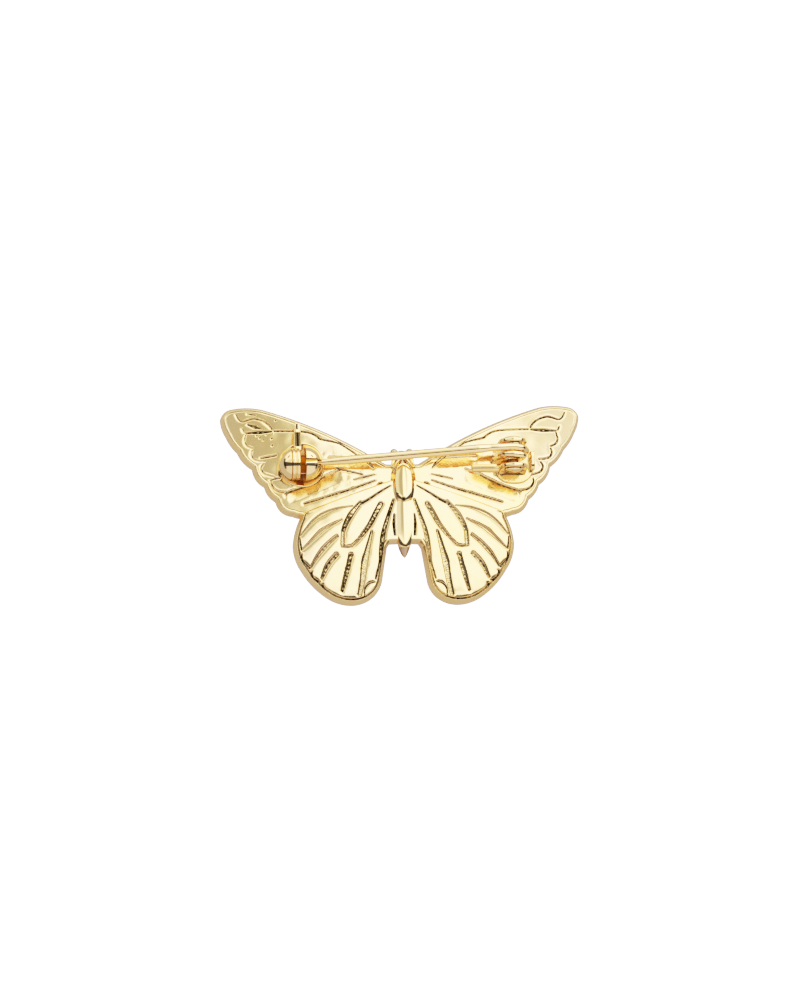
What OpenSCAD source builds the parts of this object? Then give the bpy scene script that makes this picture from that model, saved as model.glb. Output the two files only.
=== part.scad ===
// Butterfly brooch of plated cast metal, lying face down with its pin side up.
// X runs along the wings, Y from the tail to the head, Z up from the surface it lies on.

/* [Butterfly] */
// Width over the tips of the forewings
span = 46; // [42:1:52]
// Length from the top of the forewings to the foot of the hindwings
length = 25.6; // [24:0.2:29]
// Thickness of the cast wings
plate_t = 1.9; // [1.6:0.1:2.6]
// How far the wing tips lie below the crown of the dished back
dish_drop = 1; // [0.7:0.1:1.6]
// Height of the hindwings above the forewings, on the back
hind_step = 0.28; // [0.15:0.01:0.5]
// Width of the sloping rim inside the outline
rim_w = 0.45; // [0.3:0.05:0.7]
// Height of the sloping rim below the back
rim_h = 0.5; // [0.3:0.05:0.8]

/* [Relief] */
// Width of the vein grooves of the forewings
fore_groove_w = 0.34; // [0.25:0.01:0.45]
// Width of the vein grooves of the hindwings
hind_groove_w = 0.52; // [0.35:0.01:0.6]
// Depth of the vein grooves below the wing
groove_depth = 0.3; // [0.15:0.05:0.45]

/* [Body] */
// Place of the thorax's middle along the body
thorax_y = 2.9; // [2.5:0.1:3.3]
// Length of the thorax
thorax_len = 4.6; // [4.2:0.1:5]
// Width of the thorax
thorax_w = 2.6; // [2.2:0.1:2.8]
// Length of the abdomen
abdomen_len = 7.5; // [6.8:0.1:8]
// Width of the abdomen
abdomen_w = 1.9; // [1.6:0.1:2.2]
// Length of the head
head_len = 2.2; // [1.8:0.1:2.4]
// Width of the head over both eyes
head_w = 2.9; // [2.6:0.1:3.2]
// Diameter of one eye
eye_d = 1; // [0.8:0.05:1.2]
// Height of the thorax above the back of the wings
body_rise = 0.8; // [0.5:0.05:1]
// Depth of the thorax below the front of the wings
belly_h = 0.6; // [0.3:0.05:0.75]

/* [Pin stem] */
// Diameter of the pin stem's wire
wire_d = 1.1; // [0.9:0.02:1.2]
// Diameter of the flattened wire of the eye
coil_d = 0.9; // [0.8:0.02:0.94]
// Radius of the bend where the stem leaves its eye
bend_r = 30; // [24:1:40]
// Length over which the stem swells from its neck to its shank
flare_len = 1.6; // [1:0.1:2.5]
// Length of the parallel part of the stem
shank_len = 15.5; // [12:0.5:16]
// Diameter of the stem where it enters the catch
entry_d = 0.68; // [0.5:0.02:0.68]
// Length of the point inside the catch
point_len = 2.6; // [2:0.1:2.7]
// Inner radius of the eye that the wire is wound into
eye_r = 1.17; // [1:0.01:1.4]

/* [Hinge] */
// Distance of the hinge from the middle of the body
hinge_x = 13.9; // [12.5:0.1:15]
// Place of the stem's first turn along the body
hinge_y = 6.5; // [5.8:0.1:7]
// Thickness of the hinge's base above the wing
base_t = 0.3; // [0.2:0.05:0.5]
// Gap between the eye and the base
base_gap = 0.33; // [0.25:0.01:0.5]
// Thickness of the hinge's ears
ear_t = 0.5; // [0.4:0.05:0.6]
// Wall of the ears round the rivet
ear_wall = 0.6; // [0.45:0.05:0.75]
// Gap between the eye and the upper ear
ear_gap = 0.26; // [0.22:0.01:0.35]
// Gap between the eye and the lower ear
washer_gap = 0.62; // [0.4:0.02:0.9]
// Running clearance of the rivet in the eye
rivet_gap = 0.04; // [0.02:0.01:0.09]
// How far the rivet stands out of each ear
rivet_out = 0.45; // [0.3:0.05:0.8]
// Height of the stop beside the eye
stop_h = 1.9; // [1.5:0.1:2.4]
// Length of the soldered anchor wire beside the hinge
anchor_len = 3.3; // [2.5:0.1:4.5]
// Diameter of the anchor wire
anchor_d = 1; // [0.8:0.02:1.1]

/* [Catch] */
// Distance of the catch from the middle of the body
catch_x = 13.3; // [12.5:0.1:15]
// Place of the catch along the body
catch_y = 4.85; // [4:0.05:5.4]
// Diameter of the ball
ball_d = 4.28; // [4:0.02:4.6]
// Height of the ball above the wing
foot_h = 0.28; // [0.2:0.02:0.6]
// Width of the feet under the ball
foot_w = 1.8; // [1.4:0.1:2.2]
// Width of the ball over both halves
ball_w = 5.6; // [5.4:0.1:6]
// Width of the slot between the halves
slot_w = 1.7; // [1.5:0.05:1.8]
// Thickness of the turning disc
disc_t = 1.02; // [0.8:0.02:1.1]
// Depth of the disc's edge inside the ball
disc_in = 0.14; // [0.08:0.02:0.3]
// Room round the stem in the sleeve
stem_room = 0.32; // [0.28:0.01:0.36]
// Room on each side of the stem in the mouth
mouth_room = 0.13; // [0.11:0.01:0.16]
// Wall of the turning sleeve
sleeve_wall = 0.46; // [0.36:0.02:0.5]
// Running clearance of the sleeve in the halves
turn_gap = 0.05; // [0.02:0.01:0.08]
// Share of a half of the ball that the sleeve reaches into
sleeve_share = 0.62; // [0.5:0.02:0.66]
// Reach of the lever's tip from the axis
lever_reach = 5.3; // [4.8:0.1:5.8]
// Reach of the wide tab of the lever from the axis
tab_reach = 4.1; // [3.7:0.1:4.5]
// Width of the lever's tab
lever_w = 0.94; // [0.8:0.02:1]
// Width of the lever's tip
tip_w = 0.8; // [0.7:0.02:0.9]
// Thickness of the lever
lever_t = 0.8; // [0.7:0.02:0.9]
// Angle that the sleeve turns through to open
turn_deg = 150; // [120:5:160]

/* [Hidden] */
$fn = 64;
GOLD = "#e6cb8c";
PALE_GOLD = "#efdcab";
DEEP_GOLD = "#d9b467";
// Facets of the large dish spheres
DISH_FN = 240;
// Depth to which soldered pieces reach into the wing or into each other
SOLDER = 0.35;
// Clearance of the rivet in the ears that it is set into
SET_GAP = 0.01;
// Extra length of a cut past the face that it leaves
PAST = 1;
// Steps on each arc of an outline and on each stretch of a groove
ARC_STEPS = 6;
GROOVE_STEPS = 3;

// Outline of the right forewing: place as a share of half the span and of half the length,
// and the bow of the arc to the next point as a share of its chord.
// columns: x, y, bow
FORE_EDGE = [
    [-0.02, 0.40, 0.00],
    [0.09, 0.41, 0.00],
    [0.20, 0.53, 0.03],
    [0.77, 0.98, 0.05],
    [0.93, 0.99, 0.16],
    [1.00, 0.89, 0.06],
    [0.97, 0.71, 0.05],
    [0.91, 0.55, 0.08],
    [0.83, 0.38, 0.12],
    [0.765, 0.20, 0.10],
    [0.705, 0.05, 0.17],
    [0.61, -0.10, 0.05],
    [0.57, -0.12, 0.00],
    [0.53, -0.22, 0.00],
    [-0.02, -0.06, 0.00]
];
// Outline of the right hindwing, in the same columns.
HIND_EDGE = [
    [-0.02, 0.28, 0.00],
    [0.04, 0.27, 0.01],
    [0.56, -0.06, 0.05],
    [0.575, -0.13, 0.05],
    [0.615, -0.40, 0.07],
    [0.57, -0.65, 0.06],
    [0.42, -0.93, 0.07],
    [0.29, -0.995, 0.09],
    [0.17, -0.91, 0.09],
    [0.123, -0.73, 0.00],
    [0.096, -0.435, 0.00],
    [0.08, -0.39, 0.00],
    [-0.02, -0.385, 0.00]
];
// Vein grooves of the right forewing, as routes of the same shares.
FORE_ROUTES = [
    // vein along the leading edge, from the wing's root to the cell at the tip
    [[0.21, 0.41], [0.29, 0.53], [0.38, 0.62], [0.48, 0.70], [0.60, 0.74], [0.73, 0.76]],
    // upper side of the cell at the tip, with the scallop above it
    [[0.73, 0.77], [0.76, 0.83], [0.80, 0.87], [0.85, 0.87], [0.89, 0.86], [0.92, 0.90], [0.93, 0.95]],
    // lower side of the cell and its slit
    [[0.74, 0.75], [0.80, 0.74], [0.875, 0.735], [0.885, 0.78]],
    [[0.77, 0.77], [0.81, 0.79], [0.85, 0.81]],
    // scallops inside the outer margin
    [[0.87, 0.72], [0.875, 0.65], [0.865, 0.60], [0.83, 0.565]],
    [[0.83, 0.555], [0.835, 0.50], [0.81, 0.455], [0.77, 0.45]],
    [[0.77, 0.44], [0.785, 0.38], [0.77, 0.33], [0.725, 0.30]],
    [[0.73, 0.29], [0.725, 0.20], [0.69, 0.145], [0.64, 0.13]],
    [[0.645, 0.12], [0.67, 0.08], [0.69, 0.05]],
    // veins that fan out from the root to the scallops
    [[0.25, 0.29], [0.40, 0.35], [0.55, 0.42], [0.69, 0.49], [0.77, 0.45]],
    [[0.46, 0.35], [0.60, 0.34], [0.725, 0.30]],
    [[0.42, 0.31], [0.54, 0.19], [0.64, 0.13]],
    // long groove above the hindwing
    [[0.165, 0.23], [0.32, 0.15], [0.44, 0.075], [0.565, 0.005]]
];
// Vein grooves of the right hindwing, as routes of the same shares.
HIND_ROUTES = [
    // round the long cell in the middle
    [[0.08, 0.19], [0.20, 0.06], [0.28, -0.06], [0.33, -0.20], [0.345, -0.39], [0.28, -0.40],
        [0.235, -0.31], [0.19, -0.21], [0.125, 0.01]],
    // fan of slots from the cell to the margin
    [[0.28, -0.02], [0.37, -0.05], [0.45, -0.10], [0.52, -0.18], [0.575, -0.31]],
    [[0.345, -0.15], [0.45, -0.25], [0.53, -0.38], [0.57, -0.45]],
    [[0.37, -0.31], [0.43, -0.40], [0.48, -0.51], [0.52, -0.63]],
    [[0.37, -0.49], [0.425, -0.60], [0.465, -0.75]],
    [[0.295, -0.49], [0.32, -0.65], [0.36, -0.88]],
    [[0.19, -0.23], [0.215, -0.42], [0.235, -0.64], [0.255, -0.85]],
    [[0.06, 0.05], [0.09, -0.12], [0.12, -0.30], [0.135, -0.48], [0.14, -0.60], [0.165, -0.75]],
    // curl at the foot
    [[0.17, -0.77], [0.205, -0.79], [0.225, -0.85]]
];

// Places, sizes and angles worked out from the sizes above
half = [span / 2, length / 2];
tip = mm(FORE_EDGE[5]);
lobe = mm(HIND_EDGE[6]);
// The dish is centred where the wing tips and the hindwing lobes are equally far off,
// so that all four touch the surface.
dish_y = (tip * tip - lobe * lobe) / (2 * (tip[1] - lobe[1]));
reach = max([for (p = concat(outline(FORE_EDGE), outline(HIND_EDGE))) norm(p - [0, dish_y])]);
dish_r = (reach * reach + dish_drop * dish_drop) / (2 * dish_drop);
front_r = dish_r;
back_r = front_r + plate_t;
dish_z = dish_drop - front_r;
abdomen_y = thorax_y - (thorax_len + abdomen_len) / 2;
head_y = thorax_y + (thorax_len + head_len) / 2;
// Heights of the axes of the body's front half and back half
body_z = [
    back_z(0, thorax_y) - plate_t - belly_h + thorax_w / 2,
    back_z(0, thorax_y) + body_rise - thorax_w / 2
];

coil_r = eye_r + coil_d / 2;
coil_pitch = coil_d * 1.05;
// The neck of the stem lies just inside the wire of the eye
neck_d = coil_d - 0.04;
rivet_r = eye_r - rivet_gap;
ear_r = eye_r + ear_wall;
hinge_h = base_t + base_gap + coil_d + eye_r;
hinge_z = back_z(hinge_x, hinge_y) + hinge_h;
upper_ear_y = hinge_y + coil_d / 2 + ear_gap;
lower_ear_y = hinge_y - coil_pitch - coil_d / 2 - washer_gap - ear_t;

catch_h = ball_d / 2 + foot_h;
catch_z = back_z(catch_x, catch_y) + catch_h;
hole_r = entry_d / 2 + stem_room;
mouth_w = entry_d + 2 * mouth_room;
sleeve_r = hole_r + sleeve_wall;
seat_r = sleeve_r + turn_gap;
disc_r = ball_d / 2 - disc_in;
disc_x = -slot_w / 2 + turn_gap;
cap_len = (ball_w - slot_w) / 2;
sleeve_in = cap_len * sleeve_share;
// The stem crosses the catch's axis inside the right half of the ball
cross_x = -catch_x + slot_w / 2 + cap_len * 0.4;
run = hinge_x - cross_x;
fall = norm([hinge_y - catch_y, hinge_z + coil_r - catch_z]);
lean = atan2(hinge_y - catch_y, hinge_z + coil_r - catch_z);
bend_q = norm([run, fall - bend_r]);
bend_deg = atan2(fall - bend_r, run) + asin(bend_r / bend_q);
straight_len = sqrt(bend_q * bend_q - bend_r * bend_r);

function mm(p) = [p[0] * half[0], p[1] * half[1]];
function back_z(x, y) = dish_z + sqrt(back_r * back_r - x * x - (y - dish_y) * (y - dish_y));
// Points of one bowed stretch, from a up to but not including b
function bowed(a, b, bow) = [
    for (k = [0:ARC_STEPS - 1])
        let (t = k / ARC_STEPS, d = b - a)
            a + d * t + [-d[1], d[0]] * 4 * bow * t * (1 - t)
];
function outline(rows) = [
    for (i = [0:len(rows) - 1])
        let (a = mm(rows[i]), b = mm(rows[(i + 1) % len(rows)]))
            each (rows[i][2] == 0 ? [a] : bowed(a, b, rows[i][2]))
];
// A point on the curve that passes smoothly through a route's points
function on_curve(a, b, c, d, t) =
    b + (c - a) * t / 2 + (2 * a - 5 * b + 4 * c - d) * t * t / 2
    + (3 * b - a - 3 * c + d) * t * t * t / 2;
function smooth(p) = [
    for (i = [0:len(p) - 2])
        for (k = [0:GROOVE_STEPS - 1])
            on_curve(p[max(i - 1, 0)], p[i], p[i + 1], p[min(i + 2, len(p) - 1)], k / GROOVE_STEPS),
    p[len(p) - 1]
];
function heading(p, i) =
    let (d = p[min(i + 1, len(p) - 1)] - p[max(i - 1, 0)]) d / norm(d);
function side(p, w) = [for (i = [0:len(p) - 1]) let (d = heading(p, i)) p[i] + w * [-d[1], d[0]]];
function round_end(c, d, w) = [
    for (a = [60, 20, -20, -60]) c + w * [d[0] * cos(a) - d[1] * sin(a), d[0] * sin(a) + d[1] * cos(a)]
];
function reversed(p) = [for (i = [len(p) - 1:-1:0]) p[i]];
// The outline of a groove of half width w along route p, with round ends
function groove(p, w) =
    concat(side(p, w), round_end(p[len(p) - 1], heading(p, len(p) - 1), w),
        reversed(side(p, -w)), round_end(p[0], -heading(p, 0), w));
// Half profile of one lobe of the body, round towards both ends
function lobe_profile(y, len, r) = [
    for (a = [-70:14:70]) [r * pow(cos(a), 0.8), y + len / 2 * sin(a)]
];

module both_sides() {
    children();
    mirror([1, 0, 0]) children();
}

module dish(r) {
    translate([0, dish_y, dish_z]) sphere(r, $fn = DISH_FN);
}

// One pair of wings: the outline up to the rim, and the smaller field up to the back
module wings(rows, top_r) {
    high = dish_z + top_r + PAST;
    intersection() {
        linear_extrude(high) both_sides() polygon(outline(rows));
        dish(top_r - rim_h);
    }
    intersection() {
        linear_extrude(high) offset(delta = -rim_w) both_sides() polygon(outline(rows));
        dish(top_r);
    }
}

module vein_cuts(routes, w, top_r) {
    difference() {
        linear_extrude(dish_z + top_r + PAST)
            both_sides()
                for (route = routes)
                    polygon(groove(smooth([for (p = route) mm(p)]), w / 2));
        dish(top_r - groove_depth);
    }
}

module plate() {
    difference() {
        union() {
            wings(FORE_EDGE, back_r);
            wings(HIND_EDGE, back_r + hind_step);
        }
        dish(front_r);
        vein_cuts(FORE_ROUTES, fore_groove_w, back_r);
        vein_cuts(HIND_ROUTES, hind_groove_w, back_r + hind_step);
    }
}

// Abdomen, thorax and head in one turned profile, as long as the body
module body_half() {
    rotate([-90, 0, 0]) rotate_extrude()
        polygon(concat(
            [[0, abdomen_y - abdomen_len / 2]],
            lobe_profile(abdomen_y, abdomen_len, abdomen_w / 2),
            lobe_profile(thorax_y, thorax_len, thorax_w / 2),
            lobe_profile(head_y, head_len, (head_w - eye_d) / 2),
            [[0, head_y + head_len / 2]]));
}

// Body: a front half and a back half, with two eyes between them
module body() {
    for (z = body_z) translate([0, 0, z]) body_half();
    both_sides()
        translate([(head_w - eye_d) / 2, head_y + head_len * 0.2, (body_z[0] + body_z[1]) / 2])
            sphere(eye_d / 2);
}

// One half of the ball, turned about the axis, with the sleeve's seat and a hole of radius r
module ball_half(r) {
    rotate([0, 90, 0]) rotate_extrude() difference() {
        intersection() {
            translate([0, slot_w / 2 + cap_len - ball_d / 2]) circle(d = ball_d);
            translate([0, slot_w / 2]) square([ball_d, ball_w]);
        }
        square([seat_r, slot_w / 2 + sleeve_in + turn_gap]);
        if (r > 0) square([r, ball_w]);
    }
}

// Ball of the catch: two halves on feet, a slot for the disc, and a mouth in the right half
module catch_housing() {
    foot_z = catch_h + SOLDER;
    translate([-catch_x, catch_y, catch_z]) {
        difference() {
            ball_half(hole_r);
            translate([0, -mouth_w / 2, 0]) cube([ball_w, mouth_w, ball_d]);
        }
        mirror([1, 0, 0]) ball_half(0);
        // Feet that join the halves to the wing, clear of the sleeve
        both_sides() translate([slot_w / 2, -foot_w / 2, -foot_z])
            cube([cap_len * sleeve_share, foot_w, foot_z - seat_r - turn_gap * 2]);
        // Bridge between the feet, clear of the disc
        translate([-slot_w / 2 - turn_gap, -foot_w / 2, -foot_z])
            cube([slot_w + 2 * turn_gap, foot_w, foot_z - disc_r - turn_gap]);
    }
}

module ear(y) {
    translate([hinge_x, y, hinge_z]) rotate([-90, 0, 0]) difference() {
        union() {
            cylinder(h = ear_t, r = ear_r);
            translate([-ear_r, 0, 0]) cube([2 * ear_r, hinge_h + SOLDER, ear_t]);
        }
        translate([0, 0, -PAST]) cylinder(h = ear_t + 2 * PAST, r = rivet_r + SET_GAP);
    }
}

// Bracket of the hinge: two ears, a base, a stop beside the eye and the anchor wire
module hinge_bracket() {
    left_x = hinge_x - ear_r;
    stop_x = hinge_x + coil_r + coil_d / 2 + ear_gap;
    floor_z = hinge_z - hinge_h - SOLDER;
    wire_y = lower_ear_y + ear_t;
    ear(lower_ear_y);
    ear(upper_ear_y);
    translate([left_x, lower_ear_y, floor_z])
        cube([stop_x + ear_t - left_x, upper_ear_y + ear_t - lower_ear_y, SOLDER + base_t]);
    translate([stop_x, lower_ear_y, floor_z])
        cube([ear_t, hinge_y - lower_ear_y, SOLDER + stop_h]);
    translate([left_x - anchor_len, wire_y, back_z(left_x - anchor_len / 2, wire_y) + anchor_d / 2 - SOLDER / 2])
        rotate([0, 90, 0]) cylinder(h = anchor_len + SOLDER, d = anchor_d);
}

module butterfly() {
    color(GOLD) plate();
    color(PALE_GOLD) body();
    color(PALE_GOLD) catch_housing();
    color(DEEP_GOLD) hinge_bracket();
}

module hinge_rivet() {
    color(DEEP_GOLD)
        translate([hinge_x, lower_ear_y - rivet_out, hinge_z]) rotate([-90, 0, 0])
            cylinder(h = upper_ear_y - lower_ear_y + ear_t + 2 * rivet_out, r = rivet_r);
}

// Wire of the pin: an eye of two turns, a slight bend, a flare, a parallel shank and a point
module pin_stem() {
    taper_end = straight_len - slot_w * 0.2;
    shank_end = flare_len + shank_len;
    color(PALE_GOLD) {
        translate([hinge_x, hinge_y, hinge_z]) rotate([90, 0, 0]) rotate_extrude() translate([coil_r, 0]) {
            circle(d = coil_d);
            translate([0, coil_pitch]) circle(d = coil_d);
            translate([-coil_d / 4, 0]) square([coil_d / 2, coil_pitch]);
        }
        translate([hinge_x, hinge_y, hinge_z + coil_r]) rotate([90 - lean, 0, 0]) rotate([0, 0, 180]) {
            translate([0, bend_r, 0]) rotate([0, 0, -90]) rotate_extrude(angle = bend_deg)
                translate([bend_r, 0]) circle(d = neck_d);
            translate([bend_r * sin(bend_deg), bend_r * (1 - cos(bend_deg)), 0])
                rotate([0, 0, bend_deg]) rotate([0, 90, 0]) rotate_extrude() polygon([
                    [0, 0],
                    [neck_d / 2, 0],
                    [wire_d / 2, flare_len],
                    [wire_d / 2, shank_end],
                    [entry_d / 2, taper_end],
                    [entry_d / 10, taper_end + point_len],
                    [0, taper_end + point_len]
                ]);
        }
    }
}

// Turning part of the catch: a slotted sleeve with a disc and a lever
module catch_rotor() {
    tip_y = lever_reach - tip_w / 2;
    color(GOLD) translate([-catch_x, catch_y, catch_z]) difference() {
        union() {
            rotate([0, 90, 0]) cylinder(h = slot_w + 2 * sleeve_in, r = sleeve_r, center = true);
            translate([disc_x, 0, 0]) rotate([0, 90, 0]) cylinder(h = disc_t, r = disc_r);
            translate([disc_x + disc_t / 2, 0, -lever_t / 2]) {
                translate([-lever_w / 2, disc_r - SOLDER, 0]) cube([lever_w, tab_reach - disc_r + SOLDER, lever_t]);
                translate([-tip_w / 2, tab_reach - SOLDER, 0]) cube([tip_w, tip_y - tab_reach + SOLDER, lever_t]);
                translate([0, tip_y, 0]) cylinder(h = lever_t, r = tip_w / 2);
            }
        }
        rotate([0, 90, 0]) cylinder(h = ball_w, r = hole_r, center = true);
        rotate([90 - turn_deg, 0, 0]) translate([-ball_w / 2, 0, -mouth_w / 2])
            cube([ball_w, ball_d, mouth_w]);
    }
}

butterfly();
hinge_rivet();
pin_stem();
catch_rotor();
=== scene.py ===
"""Butterfly brooch of plated cast metal, seen from its pin side.

Every piece is a closed surface worked out on a grid in millimetres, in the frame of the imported
part: X along the wings, Y from the tail to the head, Z up out of the back.
"""
import logging
import math
from dataclasses import dataclass, field, replace
from enum import Enum
from functools import reduce

import bpy
import numpy as np
from mathutils import Matrix, Vector


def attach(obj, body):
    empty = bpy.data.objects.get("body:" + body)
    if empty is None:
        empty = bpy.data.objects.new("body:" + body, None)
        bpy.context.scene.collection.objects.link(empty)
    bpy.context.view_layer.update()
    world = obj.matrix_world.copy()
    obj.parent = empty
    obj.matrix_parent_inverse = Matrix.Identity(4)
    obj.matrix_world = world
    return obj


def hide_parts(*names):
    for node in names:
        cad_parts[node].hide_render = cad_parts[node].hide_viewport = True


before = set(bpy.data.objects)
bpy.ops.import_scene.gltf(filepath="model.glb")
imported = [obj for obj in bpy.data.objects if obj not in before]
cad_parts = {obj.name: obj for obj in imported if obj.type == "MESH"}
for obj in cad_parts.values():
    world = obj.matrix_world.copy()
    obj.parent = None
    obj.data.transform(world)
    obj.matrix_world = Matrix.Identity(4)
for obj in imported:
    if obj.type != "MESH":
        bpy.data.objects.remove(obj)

LOG = logging.getLogger("brooch")
MM = 0.001

Array = np.ndarray
Material = bpy.types.Material
Socket = bpy.types.NodeSocket
Tree = bpy.types.NodeTree
Triple = tuple[float, float, float]


class Side(Enum):
    """The half of the butterfly that a piece belongs to."""

    LEFT = -1
    RIGHT = 1


class Cap(Enum):
    """How the end of a shell is closed."""

    FAN = "fan"
    NONE = "none"
    LOOP = "loop"


UNCAPPED = (Cap.NONE, Cap.NONE)
LOOPED = (Cap.LOOP, Cap.LOOP)


# Curves and distances


def spline(knots: list[tuple[float, float]], x: Array) -> Array:
    """Value of a smooth curve through knots, without overshoot.

    Each stretch is a cubic whose end slopes are the harmonic mean of the chords on both sides.

    Args:
        knots: Places and values, with rising places.
        x: Places to work out.

    Returns:
        The values at x.
    """
    kx, ky = np.array(knots, float).T
    chord = np.diff(ky) / np.diff(kx)
    slope = np.concatenate([chord[:1], np.zeros(len(kx) - 2), chord[-1:]])
    a, b = chord[:-1], chord[1:]
    same = a * b > 0
    slope[1:-1][same] = 2 * a[same] * b[same] / (a[same] + b[same])
    i = np.clip(np.searchsorted(kx, x) - 1, 0, len(kx) - 2)
    width = kx[i + 1] - kx[i]
    t = np.clip((x - kx[i]) / width, 0, 1)
    return (
        (2 * t**3 - 3 * t**2 + 1) * ky[i]
        + (t**3 - 2 * t**2 + t) * width * slope[i]
        + (3 * t**2 - 2 * t**3) * ky[i + 1]
        + (t**3 - t**2) * width * slope[i + 1]
    )


def smooth_line(points: list[tuple[float, ...]], steps: int = 10) -> Array:
    """Curve through points, as cubic pieces with the chords' mean slopes, so many steps to each.

    Args:
        points: Corners of the curve.
        steps: Points to each piece.

    Returns:
        Its points.
    """
    p = np.array(points, float)
    a, b, c, d = np.concatenate([p[:1], p[:-2]]), p[:-1], p[1:], np.concatenate([p[2:], p[-1:]])
    t = (np.arange(steps) / steps)[None, :, None]
    a, b, c, d = (q[:, None, :] for q in (a, b, c, d))
    curve = (
        b
        + (c - a) * t / 2
        + (2 * a - 5 * b + 4 * c - d) * t**2 / 2
        + (3 * b - a - 3 * c + d) * t**3 / 2
    )
    return np.concatenate([curve.reshape(-1, p.shape[1]), p[-1:]])


def lengths(line: Array) -> Array:
    """Length of a line up to each of its points."""
    return np.concatenate([[0], np.cumsum(np.linalg.norm(np.diff(line, axis=0), axis=1))])


def points_at(line: Array, at: Array) -> Array:
    """Points of a line at the given lengths along it."""
    return np.stack([np.interp(at, lengths(line), column) for column in line.T], axis=1)


def resample(line: Array, count: int) -> Array:
    """Count points at equal lengths along a line."""
    return points_at(line, np.linspace(0, lengths(line)[-1], count))


def trimmed(line: Array, start: float, end: float) -> Array:
    """Line without its first and last lengths, of which at most a quarter is cut at each end.

    Args:
        line: Points in order.
        start: Length to cut at the start.
        end: Length to cut at the end.

    Returns:
        The shorter line.
    """
    run = lengths(line)
    low, high = min(start, run[-1] / 4), run[-1] - min(end, run[-1] / 4)
    return points_at(line, np.concatenate([[low], run[(run > low) & (run < high)], [high]]))


def ripple(places: Array, wave: float, seed: int, count: int = 18) -> Array:
    """Smooth uneven relief over places: a sum of sines in random directions, about 1 high.

    Args:
        places: X and Y, one row each.
        wave: Mean wavelength.
        seed: Start of the random draw.
        count: Number of sines.

    Returns:
        The relief at each place.
    """
    draw = np.random.default_rng(seed)
    turn, phase = draw.uniform(0, 2 * np.pi, (2, count))
    pace = 2 * np.pi / wave * draw.uniform(0.7, 1.4, count)
    ways = np.stack([np.cos(turn), np.sin(turn)]) * pace
    return np.sin(places @ ways + phase).sum(axis=1) / math.sqrt(count / 2)


def bowed_edge(rows: list[Triple], scale: tuple[float, float]) -> Array:
    """Outline of bowed stretches: chord plus 4 bow t (1 - t) times the chord turned by 90 degrees.

    Args:
        rows: Place in shares of the scale, and the bow of the arc to the next place.
        scale: Half the span and half the length.

    Returns:
        Points along the outline, in millimetres.
    """
    table = np.array(rows, float)
    a, b = table[:-1, :2] * scale, table[1:, :2] * scale
    t = (np.arange(32) / 32)[None, :, None]
    chord = (b - a)[:, None, :]
    turned = np.stack([-chord[..., 1], chord[..., 0]], axis=-1)
    bow = table[:-1, 2][:, None, None]
    arcs = a[:, None, :] + chord * t + turned * 4 * bow * t * (1 - t)
    return np.concatenate([arcs.reshape(-1, 2), b[-1:]])


def nearest(points: Array, line: Array, block: int = 4096) -> tuple[Array, Array]:
    """Distance of points from a line of straight stretches, and the share of it passed there.

    Args:
        points: Places, one row each.
        line: The line's corners, one row each.
        block: Points that are worked out at a time.

    Returns:
        The distances, and the shares from 0 to 1.
    """
    a, d = line[:-1], np.diff(line, axis=0)
    long = np.maximum(np.linalg.norm(d, axis=1), 1e-9)
    run = np.concatenate([[0], np.cumsum(long)])
    far, share = np.empty(len(points)), np.empty(len(points))
    for k in range(0, len(points), block):
        q = points[k : k + block, None, :] - a[None]
        t = np.clip(np.sum(q * d, axis=2) / long**2, 0, 1)
        gap = np.linalg.norm(q - t[..., None] * d, axis=2)
        j = np.argmin(gap, axis=1)
        rows = np.arange(len(j))
        far[k : k + block] = gap[rows, j]
        share[k : k + block] = (run[j] + t[rows, j] * long[j]) / run[-1]
    return far, share


def ease(t: Array) -> Array:
    """Smooth step from 0 to 1 as t goes from 0 to 1."""
    t = np.clip(t, 0, 1)
    return t * t * (3 - 2 * t)


def unit(v: Array) -> Array:
    """Rows of v at length 1."""
    return v / np.maximum(np.linalg.norm(v, axis=-1, keepdims=True), 1e-12)


def heading(line: Array) -> Array:
    """Direction of a line at each of its points."""
    return unit(np.gradient(line, axis=0))


def grid(x: Array, y: Array, z: Array) -> Array:
    """Points with the given coordinates, which are spread to one shape."""
    return np.stack(np.broadcast_arrays(x, y, z), axis=-1)


def raised(flat: Array, z: Array) -> Array:
    """Points over flat places at the given heights."""
    return np.concatenate([flat, z[..., None]], axis=-1)


# Shells


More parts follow.
